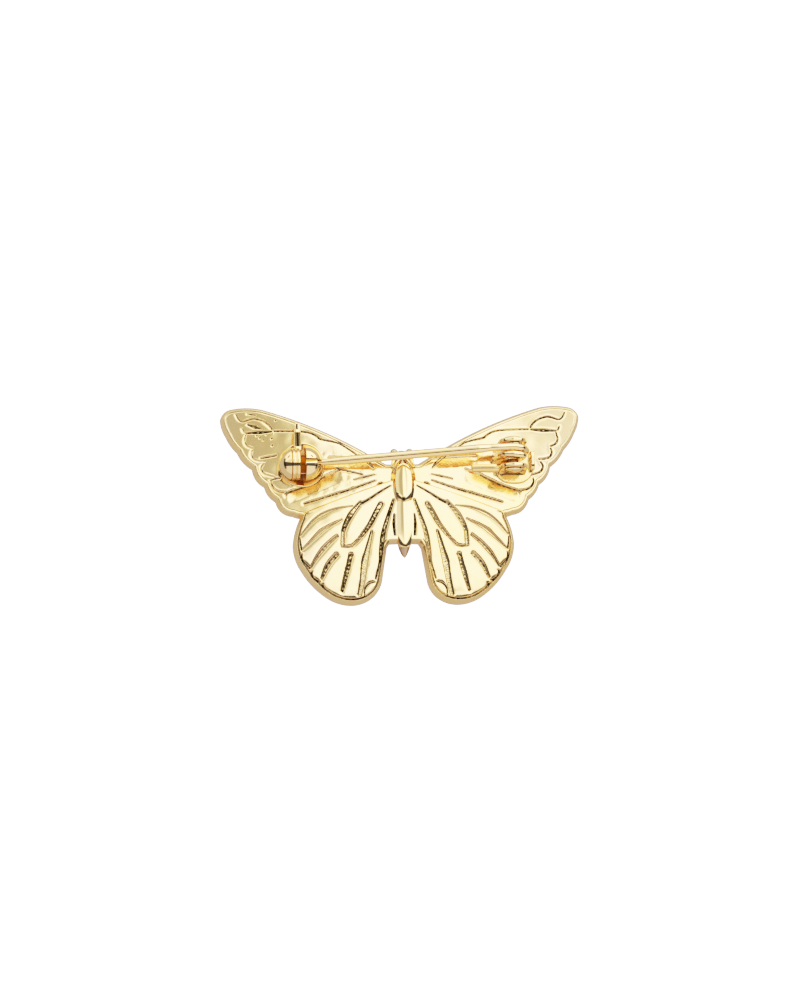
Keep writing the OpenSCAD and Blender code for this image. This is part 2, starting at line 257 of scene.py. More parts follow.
@dataclass
class Shell:
    """Rings of equal length joined one to the next, which make one closed surface.

    Attributes:
        rings: Points in millimetres, rings by points by 3.
        caps: How the first and the last ring are closed.
        masks: Values by attribute name, for each point or to be spread over the points.
    """

    rings: Array
    caps: tuple[Cap, Cap] = (Cap.FAN, Cap.FAN)
    masks: dict[str, Array] = field(default_factory=dict)

    def points(self) -> Array:
        """All points, with the middle of each fanned cap after the rings.

        Returns:
            Points in millimetres.
        """
        rows = [self.rings.reshape(-1, 3)]
        for cap, ring in zip(self.caps, (self.rings[0], self.rings[-1])):
            if cap is Cap.FAN:
                rows.append(ring.mean(axis=0, keepdims=True))
        return np.concatenate(rows)

    def faces(self) -> list[Array]:
        """Quads between the rings, and the triangles or loops of the caps, all turned outwards.

        Returns:
            Arrays of point numbers, each with its own number of corners.
        """
        count, around = self.rings.shape[:2]
        i, j = np.meshgrid(np.arange(count - 1), np.arange(around), indexing="ij")
        k = (j + 1) % around
        low, high = i * around, (i + 1) * around
        groups = [np.stack([low + j, high + j, high + k, low + k], axis=-1).reshape(-1, 4)]
        loop = np.arange(around)
        extra = count * around
        for cap, base, way in zip(self.caps, (0, (count - 1) * around), (1, -1)):
            if cap is Cap.FAN:
                one, other = (loop, (loop + 1) % around)[::way]
                groups.append(np.stack([np.full(around, extra), base + one, base + other], axis=-1))
                extra += 1
            elif cap is Cap.LOOP:
                groups.append((base + loop[::way])[None])
        return [g[:, ::-1] for g in groups] if signed_volume(self.points(), groups) < 0 else groups


def signed_volume(points: Array, groups: list[Array]) -> float:
    """Six times the volume inside a closed surface, which is negative if its faces point inwards.

    Args:
        points: Points of the surface.
        groups: Arrays of faces, each with its own number of corners.

    Returns:
        The volume.
    """
    volume = 0.0
    for group in groups:
        for k in range(1, group.shape[1] - 1):
            a, b, c = (points[group[:, j]] for j in (0, k, k + 1))
            volume += float(np.sum(a * np.cross(b, c)))
    return volume


def weld(points: Array, groups: list[Array]) -> tuple[Array, list[list[int]]]:
    """Merges points in one place, and leaves out faces that then have fewer than three corners.

    Args:
        points: Points in millimetres.
        groups: Arrays of faces, each with its own number of corners.

    Returns:
        Which of the points are kept, and the faces.
    """
    _, first, where = np.unique(np.round(points, 5), axis=0, return_index=True, return_inverse=True)
    where = where.ravel()
    faces: list[list[int]] = []
    for group in groups:
        g = where[group]
        bad = (g == np.roll(g, -1, axis=1)).any(axis=1)
        faces += g[~bad].tolist()
        for row in g[bad].tolist():
            kept = [v for n, v in enumerate(row) if v != row[n - 1]]
            if len(set(kept)) > 2 and len(set(kept)) == len(kept):
                faces.append(kept)
    return first, faces


@dataclass
class Piece:
    """One named piece of the brooch, built from closed shells.

    Attributes:
        name: Name of the piece.
        shells: Its surfaces.
        sharp_deg: Edges steeper than this stay crisp; none if 0.
        body: The body that it rides on.
        slot: The record's material slot; not used.
        node: The solid that it stands for.
    """

    name: str
    shells: list[Shell]
    sharp_deg: float = 0
    body: str = "butterfly"
    slot: str = "casting"
    node: str = "butterfly"

    def build(self, material: Material) -> None:
        """Makes the object, dresses it in a finish and puts it on its body.

        Args:
            material: The finish.
        """
        names = sorted({m for s in self.shells for m in s.masks})
        values: dict[str, list[Array]] = {n: [] for n in names}
        verts: list[Array] = []
        faces: list[list[int]] = []
        base = 0
        for shell in self.shells:
            points = shell.points()
            first, made = weld(points, shell.faces())
            verts.append(points[first])
            for n in names:
                flat = np.broadcast_to(shell.masks.get(n, 0.0), shell.rings.shape[:2]).ravel()
                values[n].append(np.pad(flat, (0, len(points) - len(flat)))[first])
            faces += [[v + base for v in f] for f in made]
            base += len(first)
        mesh = bpy.data.meshes.new(self.name)
        mesh.from_pydata((np.concatenate(verts) * MM).tolist(), [], faces)
        mesh.polygons.foreach_set("use_smooth", np.ones(len(mesh.polygons), bool))
        for n in names:
            layer = mesh.attributes.new(n, "FLOAT", "POINT")
            layer.data.foreach_set("value", np.concatenate(values[n]).astype(np.float32))
        mesh.update()
        if self.sharp_deg:
            mesh.set_sharp_from_angle(angle=math.radians(self.sharp_deg))
        mesh.materials.append(material)
        made_object = bpy.data.objects.new(self.name, mesh)
        bpy.context.scene.collection.objects.link(made_object)
        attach(made_object, self.body)
        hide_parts(self.node)
        LOG.info("%s: %d faces", self.name, len(mesh.polygons))


# Basic forms


def turned(profile: Array, count: int = 96, gap: float = 0, gap_at: float = 0) -> Array:
    """Profile turned about the X axis, all round or with a slot of even width left open.

    A point at radius r goes round from the slot's one wall to the other: its first angle is the
    slot's direction plus the angle whose sine is half the slot's width over r.

    Args:
        profile: Places along the axis and radii, round the section so that the surface is shut.
        count: Steps round the axis.
        gap: Width of the slot, or 0.
        gap_at: Direction of the slot, in degrees from +Z towards +Y.

    Returns:
        Points, steps by profile points by 3.
    """
    x, r = profile[:, 0], profile[:, 1]
    if gap:
        first = np.arcsin(np.clip(gap / 2 / np.maximum(r, 1e-9), 0, 1))
        share = np.linspace(0, 1, count)[:, None]
        angle = math.radians(gap_at) + first + share * (2 * np.pi - 2 * first)
    else:
        angle = np.linspace(0, 2 * np.pi, count + 1)[:, None] + 0 * r
    return grid(x, r * np.sin(angle), r * np.cos(angle))


def arc(centre: tuple[float, float], radius: float, start: float, stop: float, count: int) -> Array:
    """Points of an arc in a plane, with angles in degrees.

    Args:
        centre: Middle of the arc.
        radius: Its radius.
        start: First angle.
        stop: Last angle.
        count: Number of points.

    Returns:
        Points, one row each.
    """
    a = np.radians(np.linspace(start, stop, count))
    return np.stack([centre[0] + radius * np.cos(a), centre[1] + radius * np.sin(a)], axis=1)


def superellipse(count: int, power: float) -> tuple[Array, Array]:
    """Sides of a rounded square: cosine and sine of the way round, to the power of 2 / power.

    Args:
        count: Points round it.
        power: 2 for an ellipse, more for a squarer form.

    Returns:
        Both sides, from -1 to 1.
    """
    a = np.linspace(0, 2 * np.pi, count, endpoint=False)
    c, s = np.cos(a), np.sin(a)
    return np.sign(c) * np.abs(c) ** (2 / power), np.sign(s) * np.abs(s) ** (2 / power)


def rounded(middle: tuple[float, float], half: tuple[float, float], power: float, count: int) -> Array:
    """Outline of a rounded rectangle with the given middle and half widths.

    Args:
        middle: Middle of the outline.
        half: Half widths.
        power: 2 for an ellipse, more for a squarer form.
        count: Number of points.

    Returns:
        Points, one row each.
    """
    return np.stack(superellipse(count, power), axis=1) * half + middle


def slab(loop: Array, low: float, high: float, bevel: float, steps: int = 4) -> Array:
    """Plate with a rounded rim: rings of the loop that draw in by a quarter circle at both faces.

    Args:
        loop: Outline, counterclockwise seen from the high face.
        low: Height of the lower face.
        high: Height of the upper face.
        bevel: Radius of the rim.
        steps: Steps of each quarter circle.

    Returns:
        Points, rings by outline points by 3, from the lower face to the upper.
    """
    along = unit(np.roll(loop, -1, axis=0) - np.roll(loop, 1, axis=0))
    inward = np.stack([-along[:, 1], along[:, 0]], axis=1)
    a = np.linspace(0, np.pi / 2, steps + 1)
    flat_rim = [bevel + 0.04]
    inset = np.concatenate([flat_rim, bevel * (1 - np.sin(a)), bevel * (1 - np.cos(a)), flat_rim])
    z = np.concatenate([[low], low + bevel * (1 - np.cos(a)), high - bevel * (1 - np.sin(a)), [high]])
    flat = loop[None] + inset[:, None, None] * inward[None]
    return grid(flat[..., 0], flat[..., 1], z[:, None])


def placed(points: Array, axes: tuple[tuple[float, ...], ...], origin: tuple[float, ...]) -> Array:
    """Points with their three coordinates laid along the given axes from an origin."""
    return points @ np.array(axes, float) + np.array(origin, float)


def swept(path: Array, radius: Array, across: Triple, count: int) -> Array:
    """Round wire along a path: circles that stand square to it, turned from one fixed direction.

    Args:
        path: Centre line in millimetres.
        radius: Radius at each of its points.
        across: A direction that the path never runs along.
        count: Points of each circle.

    Returns:
        Points, path points by circle points by 3.
    """
    t = heading(path)
    n = unit(np.array(across) - t * (t @ np.array(across))[:, None])
    b = np.cross(t, n)
    a = np.linspace(0, 2 * np.pi, count, endpoint=False)
    ring = n[:, None] * np.cos(a)[None, :, None] + b[:, None] * np.sin(a)[None, :, None]
    return path[:, None] + ring * radius[:, None, None]


# The casting


@dataclass(frozen=True)
class Casting:
    """Sizes in millimetres that the cast pieces share with the part's source.

    Attributes:
        half: Half the span and half the length.
        plate_t: Thickness of the forewings.
        dish_y: Place along Y of the middle of the spheres that front and back belong to.
        dish_z: Height of that middle.
        front_r: Radius of the front's sphere.
        hind_step: How far the hindwings' back lies above the forewings'.
    """

    half: tuple[float, float] = (23.0, 12.8)
    plate_t: float = 1.9
    dish_y: float = 9.09506
    dish_z: float = -267.795
    front_r: float = 268.795
    hind_step: float = 0.28

    def dish(self, x: Array, y: Array, above_front: float) -> Array:
        """Height of the sphere that lies so far above the front's, over x and y."""
        r = self.front_r + above_front
        return self.dish_z + np.sqrt(r * r - x * x - (y - self.dish_y) ** 2)

    def back(self, x: Array, y: Array) -> Array:
        """Height of the forewings' back over x and y."""
        return self.dish(x, y, self.plate_t)


CASTING = Casting()


@dataclass(frozen=True)
class Groove:
    """One vein cut into the back of a wing.

    Attributes:
        route: Places that it passes through, on the right side, in millimetres.
        half: Half widths at its start, middle and end.
        depth: Depth.
        pits: How rough its floor was left, from 0 to 1; the pits also get painted shade.
        floor: How much painted shade its floor gets, from 0 to 1.
        edges: How much painted shade its walls get, from 0 to 1.
        slope: How far the back takes to rise again towards the tail, if more than the wall.
        share: How strong it is on the left and on the right side, from 0 to 1.
        warm: How far its slope gets a painted orange reflection, and is made rougher, from 0 to 1.
    """

    route: list[tuple[float, float]]
    half: Triple
    depth: float
    pits: float = 0.0
    floor: float = 1.0
    edges: float = 0.95
    slope: float = 0.0
    share: tuple[float, float] = (1.0, 1.0)
    warm: float = 0.0

    WALL = 0.17
    PILLOW = 0.015
    PILLOW_REACH = 0.4
    FADE = 0.2

    def on(self, side: Side) -> "Groove":
        """The groove as it is on one side."""
        k = self.share[side is Side.RIGHT]
        return replace(self, depth=self.depth * math.sqrt(k), floor=self.floor * k, edges=self.edges * k)

    def cut(self, places: Array) -> Array:
        """What the groove does to the back: full inside the wall's foot, none outside it.

        The back also falls gently towards the groove, which makes the fields beside it pillows.

        Args:
            places: X and Y, one row each.

        Returns:
            Rows of the depth cut away, the roughness of the floor, the painted shade and the painted
            orange reflection.
        """
        line = trimmed(smooth_line(self.route), self.half[0], self.half[2])
        reach = max(max(self.half) + self.PILLOW_REACH, self.slope)
        low, high = line.min(axis=0) - reach, line.max(axis=0) + reach
        near = np.nonzero(((places > low) & (places < high)).all(axis=1))[0]
        layers = np.zeros((4, len(places)))
        if not len(near):
            return layers
        here = places[near]
        far, share = nearest(here, line)
        half = np.interp(share, [0, 0.5, 1], self.half)
        wall = np.minimum(self.WALL, half)
        down = ease((half - far) / wall)
        fall = np.clip(1 - (far - half) / self.PILLOW_REACH, 0, 1) ** 2
        depth = self.PILLOW * fall + (self.depth - self.PILLOW) * down
        warm = 0 * depth
        if self.slope:
            way = unit(line[-1] - line[0])
            beside = (here - line[0]) @ np.array([way[1], -way[0]])
            rise = np.clip(1 - beside / self.slope, 0, 1) * (beside > 0)
            ends = ease(share / self.FADE) * ease((1 - share) / self.FADE)
            depth = np.maximum(depth, self.depth * rise * ends)
            # Painted orange reflection over the slope.
            warm = self.warm * ease(1.5 * rise) * ends
        rough = self.pits * ease((half - wall * 0.6 - far) / wall)
        broken = 0.8 + 0.5 * ripple(here, 0.55, 3)
        # Painted shade on the walls, and in broken patches on the floor.
        dark = np.maximum(self.edges * 4 * down * (1 - down), self.floor * down * broken)
        layers[:, near] = depth, rough, dark, warm
        return layers


@dataclass(frozen=True)
class Rim:
    """Rolled edge of a wing.

    Attributes:
        width: Width of the roll.
        drop: How far the outline lies below the back.
        crease: Distance of the crease inside the outline.
        crease_half: Half the width of the crease.
        crease_depth: Depth of the crease.
        crease_dark: How much painted shade the crease gets, from 0 to 1.
        reach: The crease runs beyond this place along X, and below this place along Y.
    """

    width: float
    drop: float
    crease: float
    crease_half: float
    crease_depth: float
    crease_dark: float
    reach: tuple[float, float] = (-9.0, 99.0)

    def line(self, far: Array, places: Array) -> Array:
        """The crease's share, 1 in its middle and 0 outside it and outside its reach."""
        within = ease((places[:, 0] - self.reach[0]) / 0.8) * ease((self.reach[1] - places[:, 1]) / 1.2)
        return within * ease(1 - np.abs(far - self.crease) / self.crease_half)

    def fall(self, far: Array) -> Array:
        """Drop at a distance inside the outline."""
        return self.drop * np.clip(1 - far / self.width, 0, 1) ** 1.3


@dataclass
class Wing:
    """A wing of one side: a shell between two edges that both run from the root to the tip.

    Attributes:
        name: Name of the piece.
        side: Which side.
        upper: Edge towards the head, from root to tip.
        lower: Edge towards the tail, from root to tip.
        top: Height of the back above the front's sphere.
        front: Height of the front above its sphere, near the body.
        rim: The rolled edge.
        grooves: The veins.
        size: Points along and across the wing.
        seed: Start of the pits' random draw.
        marks: Small pits, as place, radius and depth, each darkened with painted shade.
        grain: How strong the coarse grain of its inner part is, from 0 to 1.
    """

    name: str
    side: Side
    upper: Array
    lower: Array
    top: float
    front: float
    rim: Rim
    grooves: list[Groove]
    size: tuple[int, int]
    seed: int
    marks: list[tuple[float, float, float, float]] = field(default_factory=list)
    grain: float = 0.0

    WALL_STEPS = 7
    FRONT_STEPS = 16
    FOOT_R = 0.25
    PIT_DEPTH = 0.065
    PIT_SHADE = 0.9
    WAVE = 0.002

    def relief(self, places: Array) -> tuple[Array, Array, Array]:
        """Height of the back over places, how rough it was left, and the shade and orange reflection
        painted on it.

        The height is the sphere's, less the fall of the rim, less the deepest of the cuts there,
        less a random share of each rough floor.

        Args:
            places: X and Y, one row each.

        Returns:
            The heights, the painted shade of grooves, pits and crease, and the painted orange reflection.
        """
        far, _ = nearest(places, np.concatenate([self.upper[1:], self.lower[:0:-1]]))
        depth, rough, dark, warm = np.max([g.cut(places) for g in self.grooves], axis=0)
        x, y = places.T
        # Each pit is sunk and gets full painted shade.
        for pit_x, pit_y, radius, deep in self.marks:
            pit = ease(1.4 - np.hypot(x - pit_x, y - pit_y) / radius)
            depth, dark = np.maximum(depth, deep * pit), np.maximum(dark, pit)
        inside = ease((far - self.rim.width * 0.7) / 0.25)
        crease = self.rim.line(far, places)
        broken = np.random.default_rng(self.seed).uniform(-1, 1, len(places)) * rough
        height = CASTING.dish(x, y, self.top) - self.rim.fall(far) - self.rim.crease_depth * crease
        height += inside * (self.waves(places) - depth) + self.PIT_DEPTH * broken
        dark = np.clip(dark + self.PIT_SHADE * broken, 0, 1) * inside
        return height, np.maximum(dark, self.rim.crease_dark * crease), warm

    def waves(self, places: Array) -> Array:
        """Unevenness of the casting: long soft waves, and a grain on the rough inner part.

        Args:
            places: X and Y, one row each.

        Returns:
            Heights to add.
        """
        fine = self.coarse(places) * ripple(places, 1.0, self.seed + 1)
        return self.WAVE * (ripple(places, 2.2, self.seed) + fine)

    def coarse(self, places: Array) -> Array:
        """Share of the coarse grain over places, full on the inner lower part of a forewing.

        Args:
            places: X and Y, one row each.

        Returns:
            The share at each place.
        """
        x, y = places.T
        along = ease((x - 2.2) / 1.5) * ease((15.5 - x) / 2.0)
        return self.grain * along * ease(y - 0.6) * ease((7.3 - y) / 1.2)

    def build(self) -> Shell:
        """The wing's shell: rings of back, outer wall, front and inner wall, from root to tip.

        The back is ruled between the edges, closer together beside them. A wall goes straight
        down from the rim and turns under by a quarter circle.

        Returns:
            The shell.
        """
        count, across = self.size
        upper, lower = resample(self.upper, count), resample(self.lower, count)
        t = np.linspace(0, 1, across)
        v = (t - 0.08 * np.sin(2 * np.pi * t))[None, :, None]
        flat = lower[:, None] * (1 - v) + upper[:, None] * v
        places = flat.reshape(-1, 2)
        height, dark, warm = self.relief(places)
        back = raised(flat, height.reshape(count, across))
        in_upper, in_lower = heading(upper) @ [[0, -1], [1, 0]], heading(lower) @ [[0, 1], [-1, 0]]
        in_upper[-1] = in_lower[-1] = unit(in_upper[-1] + in_lower[-1])
        wall_u = self.wall(upper, in_upper, back[:, -1, 2])
        wall_l = self.wall(lower, in_lower, back[:, 0, 2])
        s = np.linspace(0, 1, self.FRONT_STEPS)[None, 1:-1, None]
        front = wall_u[:, -1:, :2] * (1 - s) + wall_l[:, -1:, :2] * s
        front = raised(front, self.front_z(front))
        rings = np.concatenate([back, wall_u, front, wall_l[:, ::-1]], axis=1)
        rings[..., 0] *= self.side.value
        rest = ((0, 0), (0, rings.shape[1] - across))
        # recess carries the painted shade, warm the painted orange reflection.
        masks = {"recess": dark, "grain": self.coarse(places), "warm": warm}
        masks = {name: np.pad(mask.reshape(count, across), rest) for name, mask in masks.items()}
        return Shell(rings, (Cap.FAN, Cap.NONE), masks)

    def front_z(self, flat: Array) -> Array:
        """Height of the front: the dish, raised near the body where a wing lies on the other."""
        return CASTING.dish(flat[..., 0], flat[..., 1], 0.0) + self.front * ease((flat[..., 1] + 6) / 3)

    def wall(self, edge: Array, inward: Array, top: Array) -> Array:
        """Wall below one edge, from the back's rim round to the front.

        Args:
            edge: The outline.
            inward: Direction into the wing at each of its points.
            top: Height of the rim.

        Returns:
            Points, edge points by wall steps by 3.
        """
        a = np.linspace(0, np.pi / 2, self.WALL_STEPS)
        inset = np.pad(self.FOOT_R * (1 - np.cos(a)), (2, 0))
        rise = np.pad(self.FOOT_R * (1 - np.sin(a)), (2, 0))
        flat = edge[:, None] + inward[:, None] * inset[None, :, None]
        z = self.front_z(flat) + rise
        for step, share in enumerate((0.7, 0.35)):
            z[:, step] = top * share + z[:, 2] * (1 - share)
        return raised(flat, z)


@dataclass
class Wings:
    """The four wings with their veins. Edges are in shares of the half span and half length.

    Attributes:
        fore_grid: Points along and across a forewing.
        hind_grid: Points along and across a hindwing.
        fore_seed: Start of the forewings' random draws.
        hind_seed: Start of the hindwings' random draws.
        hind_front: Height of the hindwings' front above the dish, near the body.
    """

    fore_grid: tuple[int, int] = (430, 165)
    hind_grid: tuple[int, int] = (420, 170)
    fore_seed: int = 11
    hind_seed: int = 21
    hind_front: float = 0.12

    LEADING = [(0.0, 0.403, 0), (0.09, 0.41, 0), (0.20, 0.53, 0.03), (0.77, 0.98, 0.05),
               (0.93, 0.99, 0.16), (1.00, 0.89, 0)]
    MARGIN = [(1.00, 0.89, 0.06), (0.97, 0.71, 0.05), (0.91, 0.55, 0.08), (0.83, 0.38, 0.12),
              (0.765, 0.20, 0.10), (0.705, 0.05, 0.17), (0.61, -0.10, 0.05), (0.57, -0.12, 0),
              (0.53, -0.22, 0), (0.0, -0.068, 0)]
    HIND_OUTER = [(0.0, 0.275, 0), (0.04, 0.27, 0.01), (0.56, -0.06, 0.05), (0.575, -0.13, 0.05),
                  (0.615, -0.40, 0.07), (0.57, -0.65, 0.06), (0.42, -0.93, 0.07), (0.29, -0.995, 0)]
    HIND_INNER = [(0.29, -0.995, 0.09), (0.17, -0.91, 0.09), (0.123, -0.73, 0), (0.096, -0.435, 0),
                  (0.08, -0.39, 0), (0.0, -0.385, 0)]
    FORE_RIM = Rim(0.4, 0.85, 0.62, 0.09, 0.02, 0.05)
    HIND_RIM = Rim(0.42, 0.85, 0.57, 0.17, 0.15, 1.0, (2.2, -0.9))
    # How much painted shade the hindwings' crease gets, on each side.
    HIND_CREASE = {Side.LEFT: 0.85, Side.RIGHT: 0.55}

    # How strong a groove is on the left and on the right, if not the same
    EDGE = (0.35, 1.0)
    FORE_VEINS = [
        Groove([(3.87, 4.67), (5.7, 6.19), (7.65, 7.58), (8.68, 8.01), (10.35, 8.38), (10.87, 8.76),
                (11.52, 9.13), (12.54, 9.38), (14.46, 9.48), (16.37, 9.52)], (0.06, 0.14, 0.12), 0.16),
        Groove([(16.5, 9.65), (16.9, 10.29), (17.68, 10.86), (18.71, 11.17), (19.35, 11.09),
                (20.23, 10.83), (20.75, 11.14), (21.09, 11.84)], (0.13, 0.16, 0.08), 0.2,
               share=(0.6, 1.0)),
        Groove([(16.5, 9.52), (17.64, 9.43), (18.79, 9.39), (19.94, 9.35)], (0.12, 0.24, 0.1), 0.26,
               pits=1.0),
        Groove([(20.34, 9.99), (20.06, 9.35)], (0.1, 0.13, 0.1), 0.16, share=EDGE),
        Groove([(19.8, 9.23), (20.03, 8.32), (19.76, 7.68), (18.99, 7.31)], (0.1, 0.14, 0.13), 0.18,
               share=EDGE),
        Groove([(19.05, 7.18), (19.22, 6.53), (18.95, 5.96), (18.3, 5.71), (17.41, 5.66)],
               (0.12, 0.15, 0.12), 0.18, share=EDGE),
        Groove([(17.66, 5.4), (18.02, 4.75), (17.75, 4.11), (17.1, 3.8), (16.33, 3.61)],
               (0.12, 0.15, 0.1), 0.18, share=EDGE),
        Groove([(16.7, 3.22), (16.75, 2.71), (16.42, 2.13), (15.77, 1.76), (14.75, 1.64)],
               (0.1, 0.15, 0.12), 0.2, share=EDGE),
        Groove([(14.75, 1.58), (14.99, 1.06)], (0.12, 0.12, 0.06), 0.16),
        Groove([(9.83, 3.69), (12.35, 2.44), (14.75, 1.64)], (0.1, 0.17, 0.12), 0.24),
        Groove([(3.57, 3.0), (6.6, 1.93), (9.76, 1.0), (12.79, 0.12)], (0.1, 0.17, 0.1), 0.2),
        Groove([(2.67, 2.75), (3.42, 2.36)], (0.08, 0.2, 0.08), 0.2, pits=0.6),
        # Two troughs whose slopes carry a painted orange reflection.
        Groove([(7.9, 4.45), (9.83, 3.69), (12.35, 2.44), (15.2, 1.45)], (0.12, 0.2, 0.12), 0.32,
               slope=1.5, floor=0.0, edges=0.0, warm=0.9),
        Groove([(3.6, 5.6), (6.5, 5.8), (9.6, 5.95)], (0.2, 0.3, 0.3), 0.12,
               slope=1.2, floor=0.0, edges=0.0, warm=0.9),
        Groove([(3.59, 3.77), (5.36, 3.36), (6.38, 3.09)], (0.06, 0.14, 0.06), 0.16),
        Groove([(5.12, 3.75), (6.66, 4.12), (8.58, 4.61)], (0.06, 0.15, 0.06), 0.12, share=(1.0, 0.0)),
        Groove([(3.74, 4.54), (4.27, 5.3), (4.93, 5.94)], (0.06, 0.12, 0.06), 0.12),
    ]
    LEFT_MARKS = [
        Groove([(15.97, 6.39), (17.12, 6.21), (18.14, 6.03)], (0.1, 0.14, 0.1), 0.18),
        Groove([(15.54, 3.49), (16.43, 3.37), (16.95, 3.12)], (0.1, 0.14, 0.1), 0.18),
        Groove([(19.67, 10.48), (18.79, 10.15), (17.78, 9.82)], (0.12, 0.26, 0.05), 0.24, pits=1.0),
        Groove([(19.64, 11.83), (18.5, 11.62)], (0.06, 0.12, 0.06), 0.12, pits=1.0),
    ]
    # Small pits on the left forewing, darkened with painted shade: place, radius and depth.
    LEFT_PITS = [(18.5, 8.98, 0.09, 0.12), (18.1, 8.7, 0.1, 0.12), (17.7, 8.4, 0.08, 0.1),
                 (17.3, 9.1, 0.07, 0.1), (16.6, 8.6, 0.11, 0.14), (16.55, 7.7, 0.11, 0.14),
                 (16.05, 10.9, 0.09, 0.12), (17.9, 9.2, 0.06, 0.1)]
    HIND_VEINS = [
        Groove([(1.64, 2.3), (3.02, 1.5), (4.65, 0.45), (5.95, -0.2)], (0.1, 0.16, 0.2), 0.2),
        Groove([(5.4, 0.3), (6.58, -1.06), (7.4, -2.45), (7.85, -3.6)], (0.24, 0.37, 0.3), 0.28,
               pits=0.8, share=(1.0, 0.5)),
        Groove([(7.8, -3.2), (7.9, -4.2), (7.96, -5.6)], (0.28, 0.28, 0.28), 0.24,
               pits=0.2, floor=0.25, edges=0.6),
        Groove([(8.2, -5.45), (7.15, -5.5), (6.4, -5.17), (5.3, -3.85)], (0.15, 0.18, 0.2), 0.22,
               floor=0.45),
        Groove([(5.6, -4.25), (4.43, -2.72), (3.58, -1.16), (2.8, 0.2)], (0.24, 0.34, 0.34), 0.28,
               pits=0.9, share=(1.0, 0.6)),
        Groove([(6.53, -0.31), (8.44, -0.59), (10.33, -1.32), (11.83, -2.37), (13.31, -4.06)],
               (0.06, 0.27, 0.08), 0.14, floor=0.1),
        Groove([(7.89, -2.0), (10.28, -3.25), (12.14, -4.95), (13.13, -5.86)], (0.1, 0.29, 0.08), 0.18,
               floor=0.15),
        Groove([(8.47, -4.0), (9.84, -5.17), (11.07, -6.6), (12.05, -8.16)], (0.2, 0.28, 0.14), 0.24,
               pits=0.5, floor=0.45),
        Groove([(8.53, -6.32), (9.77, -7.74), (10.73, -9.68)], (0.3, 0.31, 0.18), 0.26,
               pits=0.8, share=(1.0, 0.65)),
        Groove([(6.81, -6.29), (7.33, -8.36), (8.14, -11.32)], (0.3, 0.3, 0.2), 0.26,
               pits=0.8, share=(1.0, 0.65)),
        Groove([(4.15, -3.43), (4.72, -5.75), (5.18, -7.69), (5.5, -9.88), (5.95, -11.94)],
               (0.2, 0.46, 0.3), 0.18, pits=0.25, floor=0.12),
        Groove([(1.27, 0.59), (1.98, -1.48), (2.68, -3.67), (3.12, -6.25), (3.27, -7.66), (3.85, -9.73)],
               (0.18, 0.34, 0.1), 0.24, pits=0.7, share=(1.0, 0.5)),
        Groove([(3.9, -9.99), (4.72, -10.25), (5.22, -10.9), (5.31, -11.93)], (0.1, 0.14, 0.06), 0.2),
        Groove([(1.28, -1.34), (1.37, -2.76), (1.26, -4.17)], (0.1, 0.2, 0.16), 0.3, pits=1.0),
        Groove([(13.36, -4.3), (13.3, -5.1), (13.13, -5.96)], (0.08, 0.13, 0.12), 0.18),
        Groove([(13.18, -6.22), (13.1, -7.12), (12.57, -7.74), (12.05, -8.26)], (0.14, 0.18, 0.18), 0.2),
        Groove([(11.98, -8.51), (11.89, -9.28), (11.36, -9.72), (10.79, -9.91)], (0.18, 0.19, 0.18), 0.2),
        Groove([(10.72, -10.15), (10.3, -10.92), (9.41, -11.55), (8.37, -12.0)], (0.18, 0.18, 0.14), 0.2),
        Groove([(8.37, -12.04), (7.22, -12.2), (6.19, -12.15), (5.31, -11.94)], (0.14, 0.16, 0.12), 0.18),
        Groove([(5.31, -11.94), (4.3, -11.61), (3.57, -10.84), (3.08, -9.93)], (0.1, 0.13, 0.06), 0.18),
    ]

    def build(self, finish: Material) -> None:
        """Makes both forewings and both hindwings.

        Args:
            finish: The castings' finish.
        """
        for side in Side:
            word, left = side.name.lower(), side is Side.LEFT
            veins = self.FORE_VEINS + (self.LEFT_MARKS if left else [])
            fore = Wing(
                f"forewing_{word}", side,
                bowed_edge(self.LEADING, CASTING.half), bowed_edge(self.MARGIN, CASTING.half)[::-1],
                CASTING.plate_t, 0.0, self.FORE_RIM, [g.on(side) for g in veins],
                self.fore_grid, self.fore_seed + side.value, self.LEFT_PITS if left else [], 1.0,
            )
            hind = Wing(
                f"hindwing_{word}", side,
                bowed_edge(self.HIND_OUTER, CASTING.half), bowed_edge(self.HIND_INNER, CASTING.half)[::-1],
                CASTING.plate_t + CASTING.hind_step, self.hind_front,
                replace(self.HIND_RIM, crease_dark=self.HIND_CREASE[side]),
                [g.on(side) for g in self.HIND_VEINS], self.hind_grid, self.hind_seed + side.value,
            )
            for wing in (fore, hind):
                Piece(wing.name, [wing.build()]).build(finish)


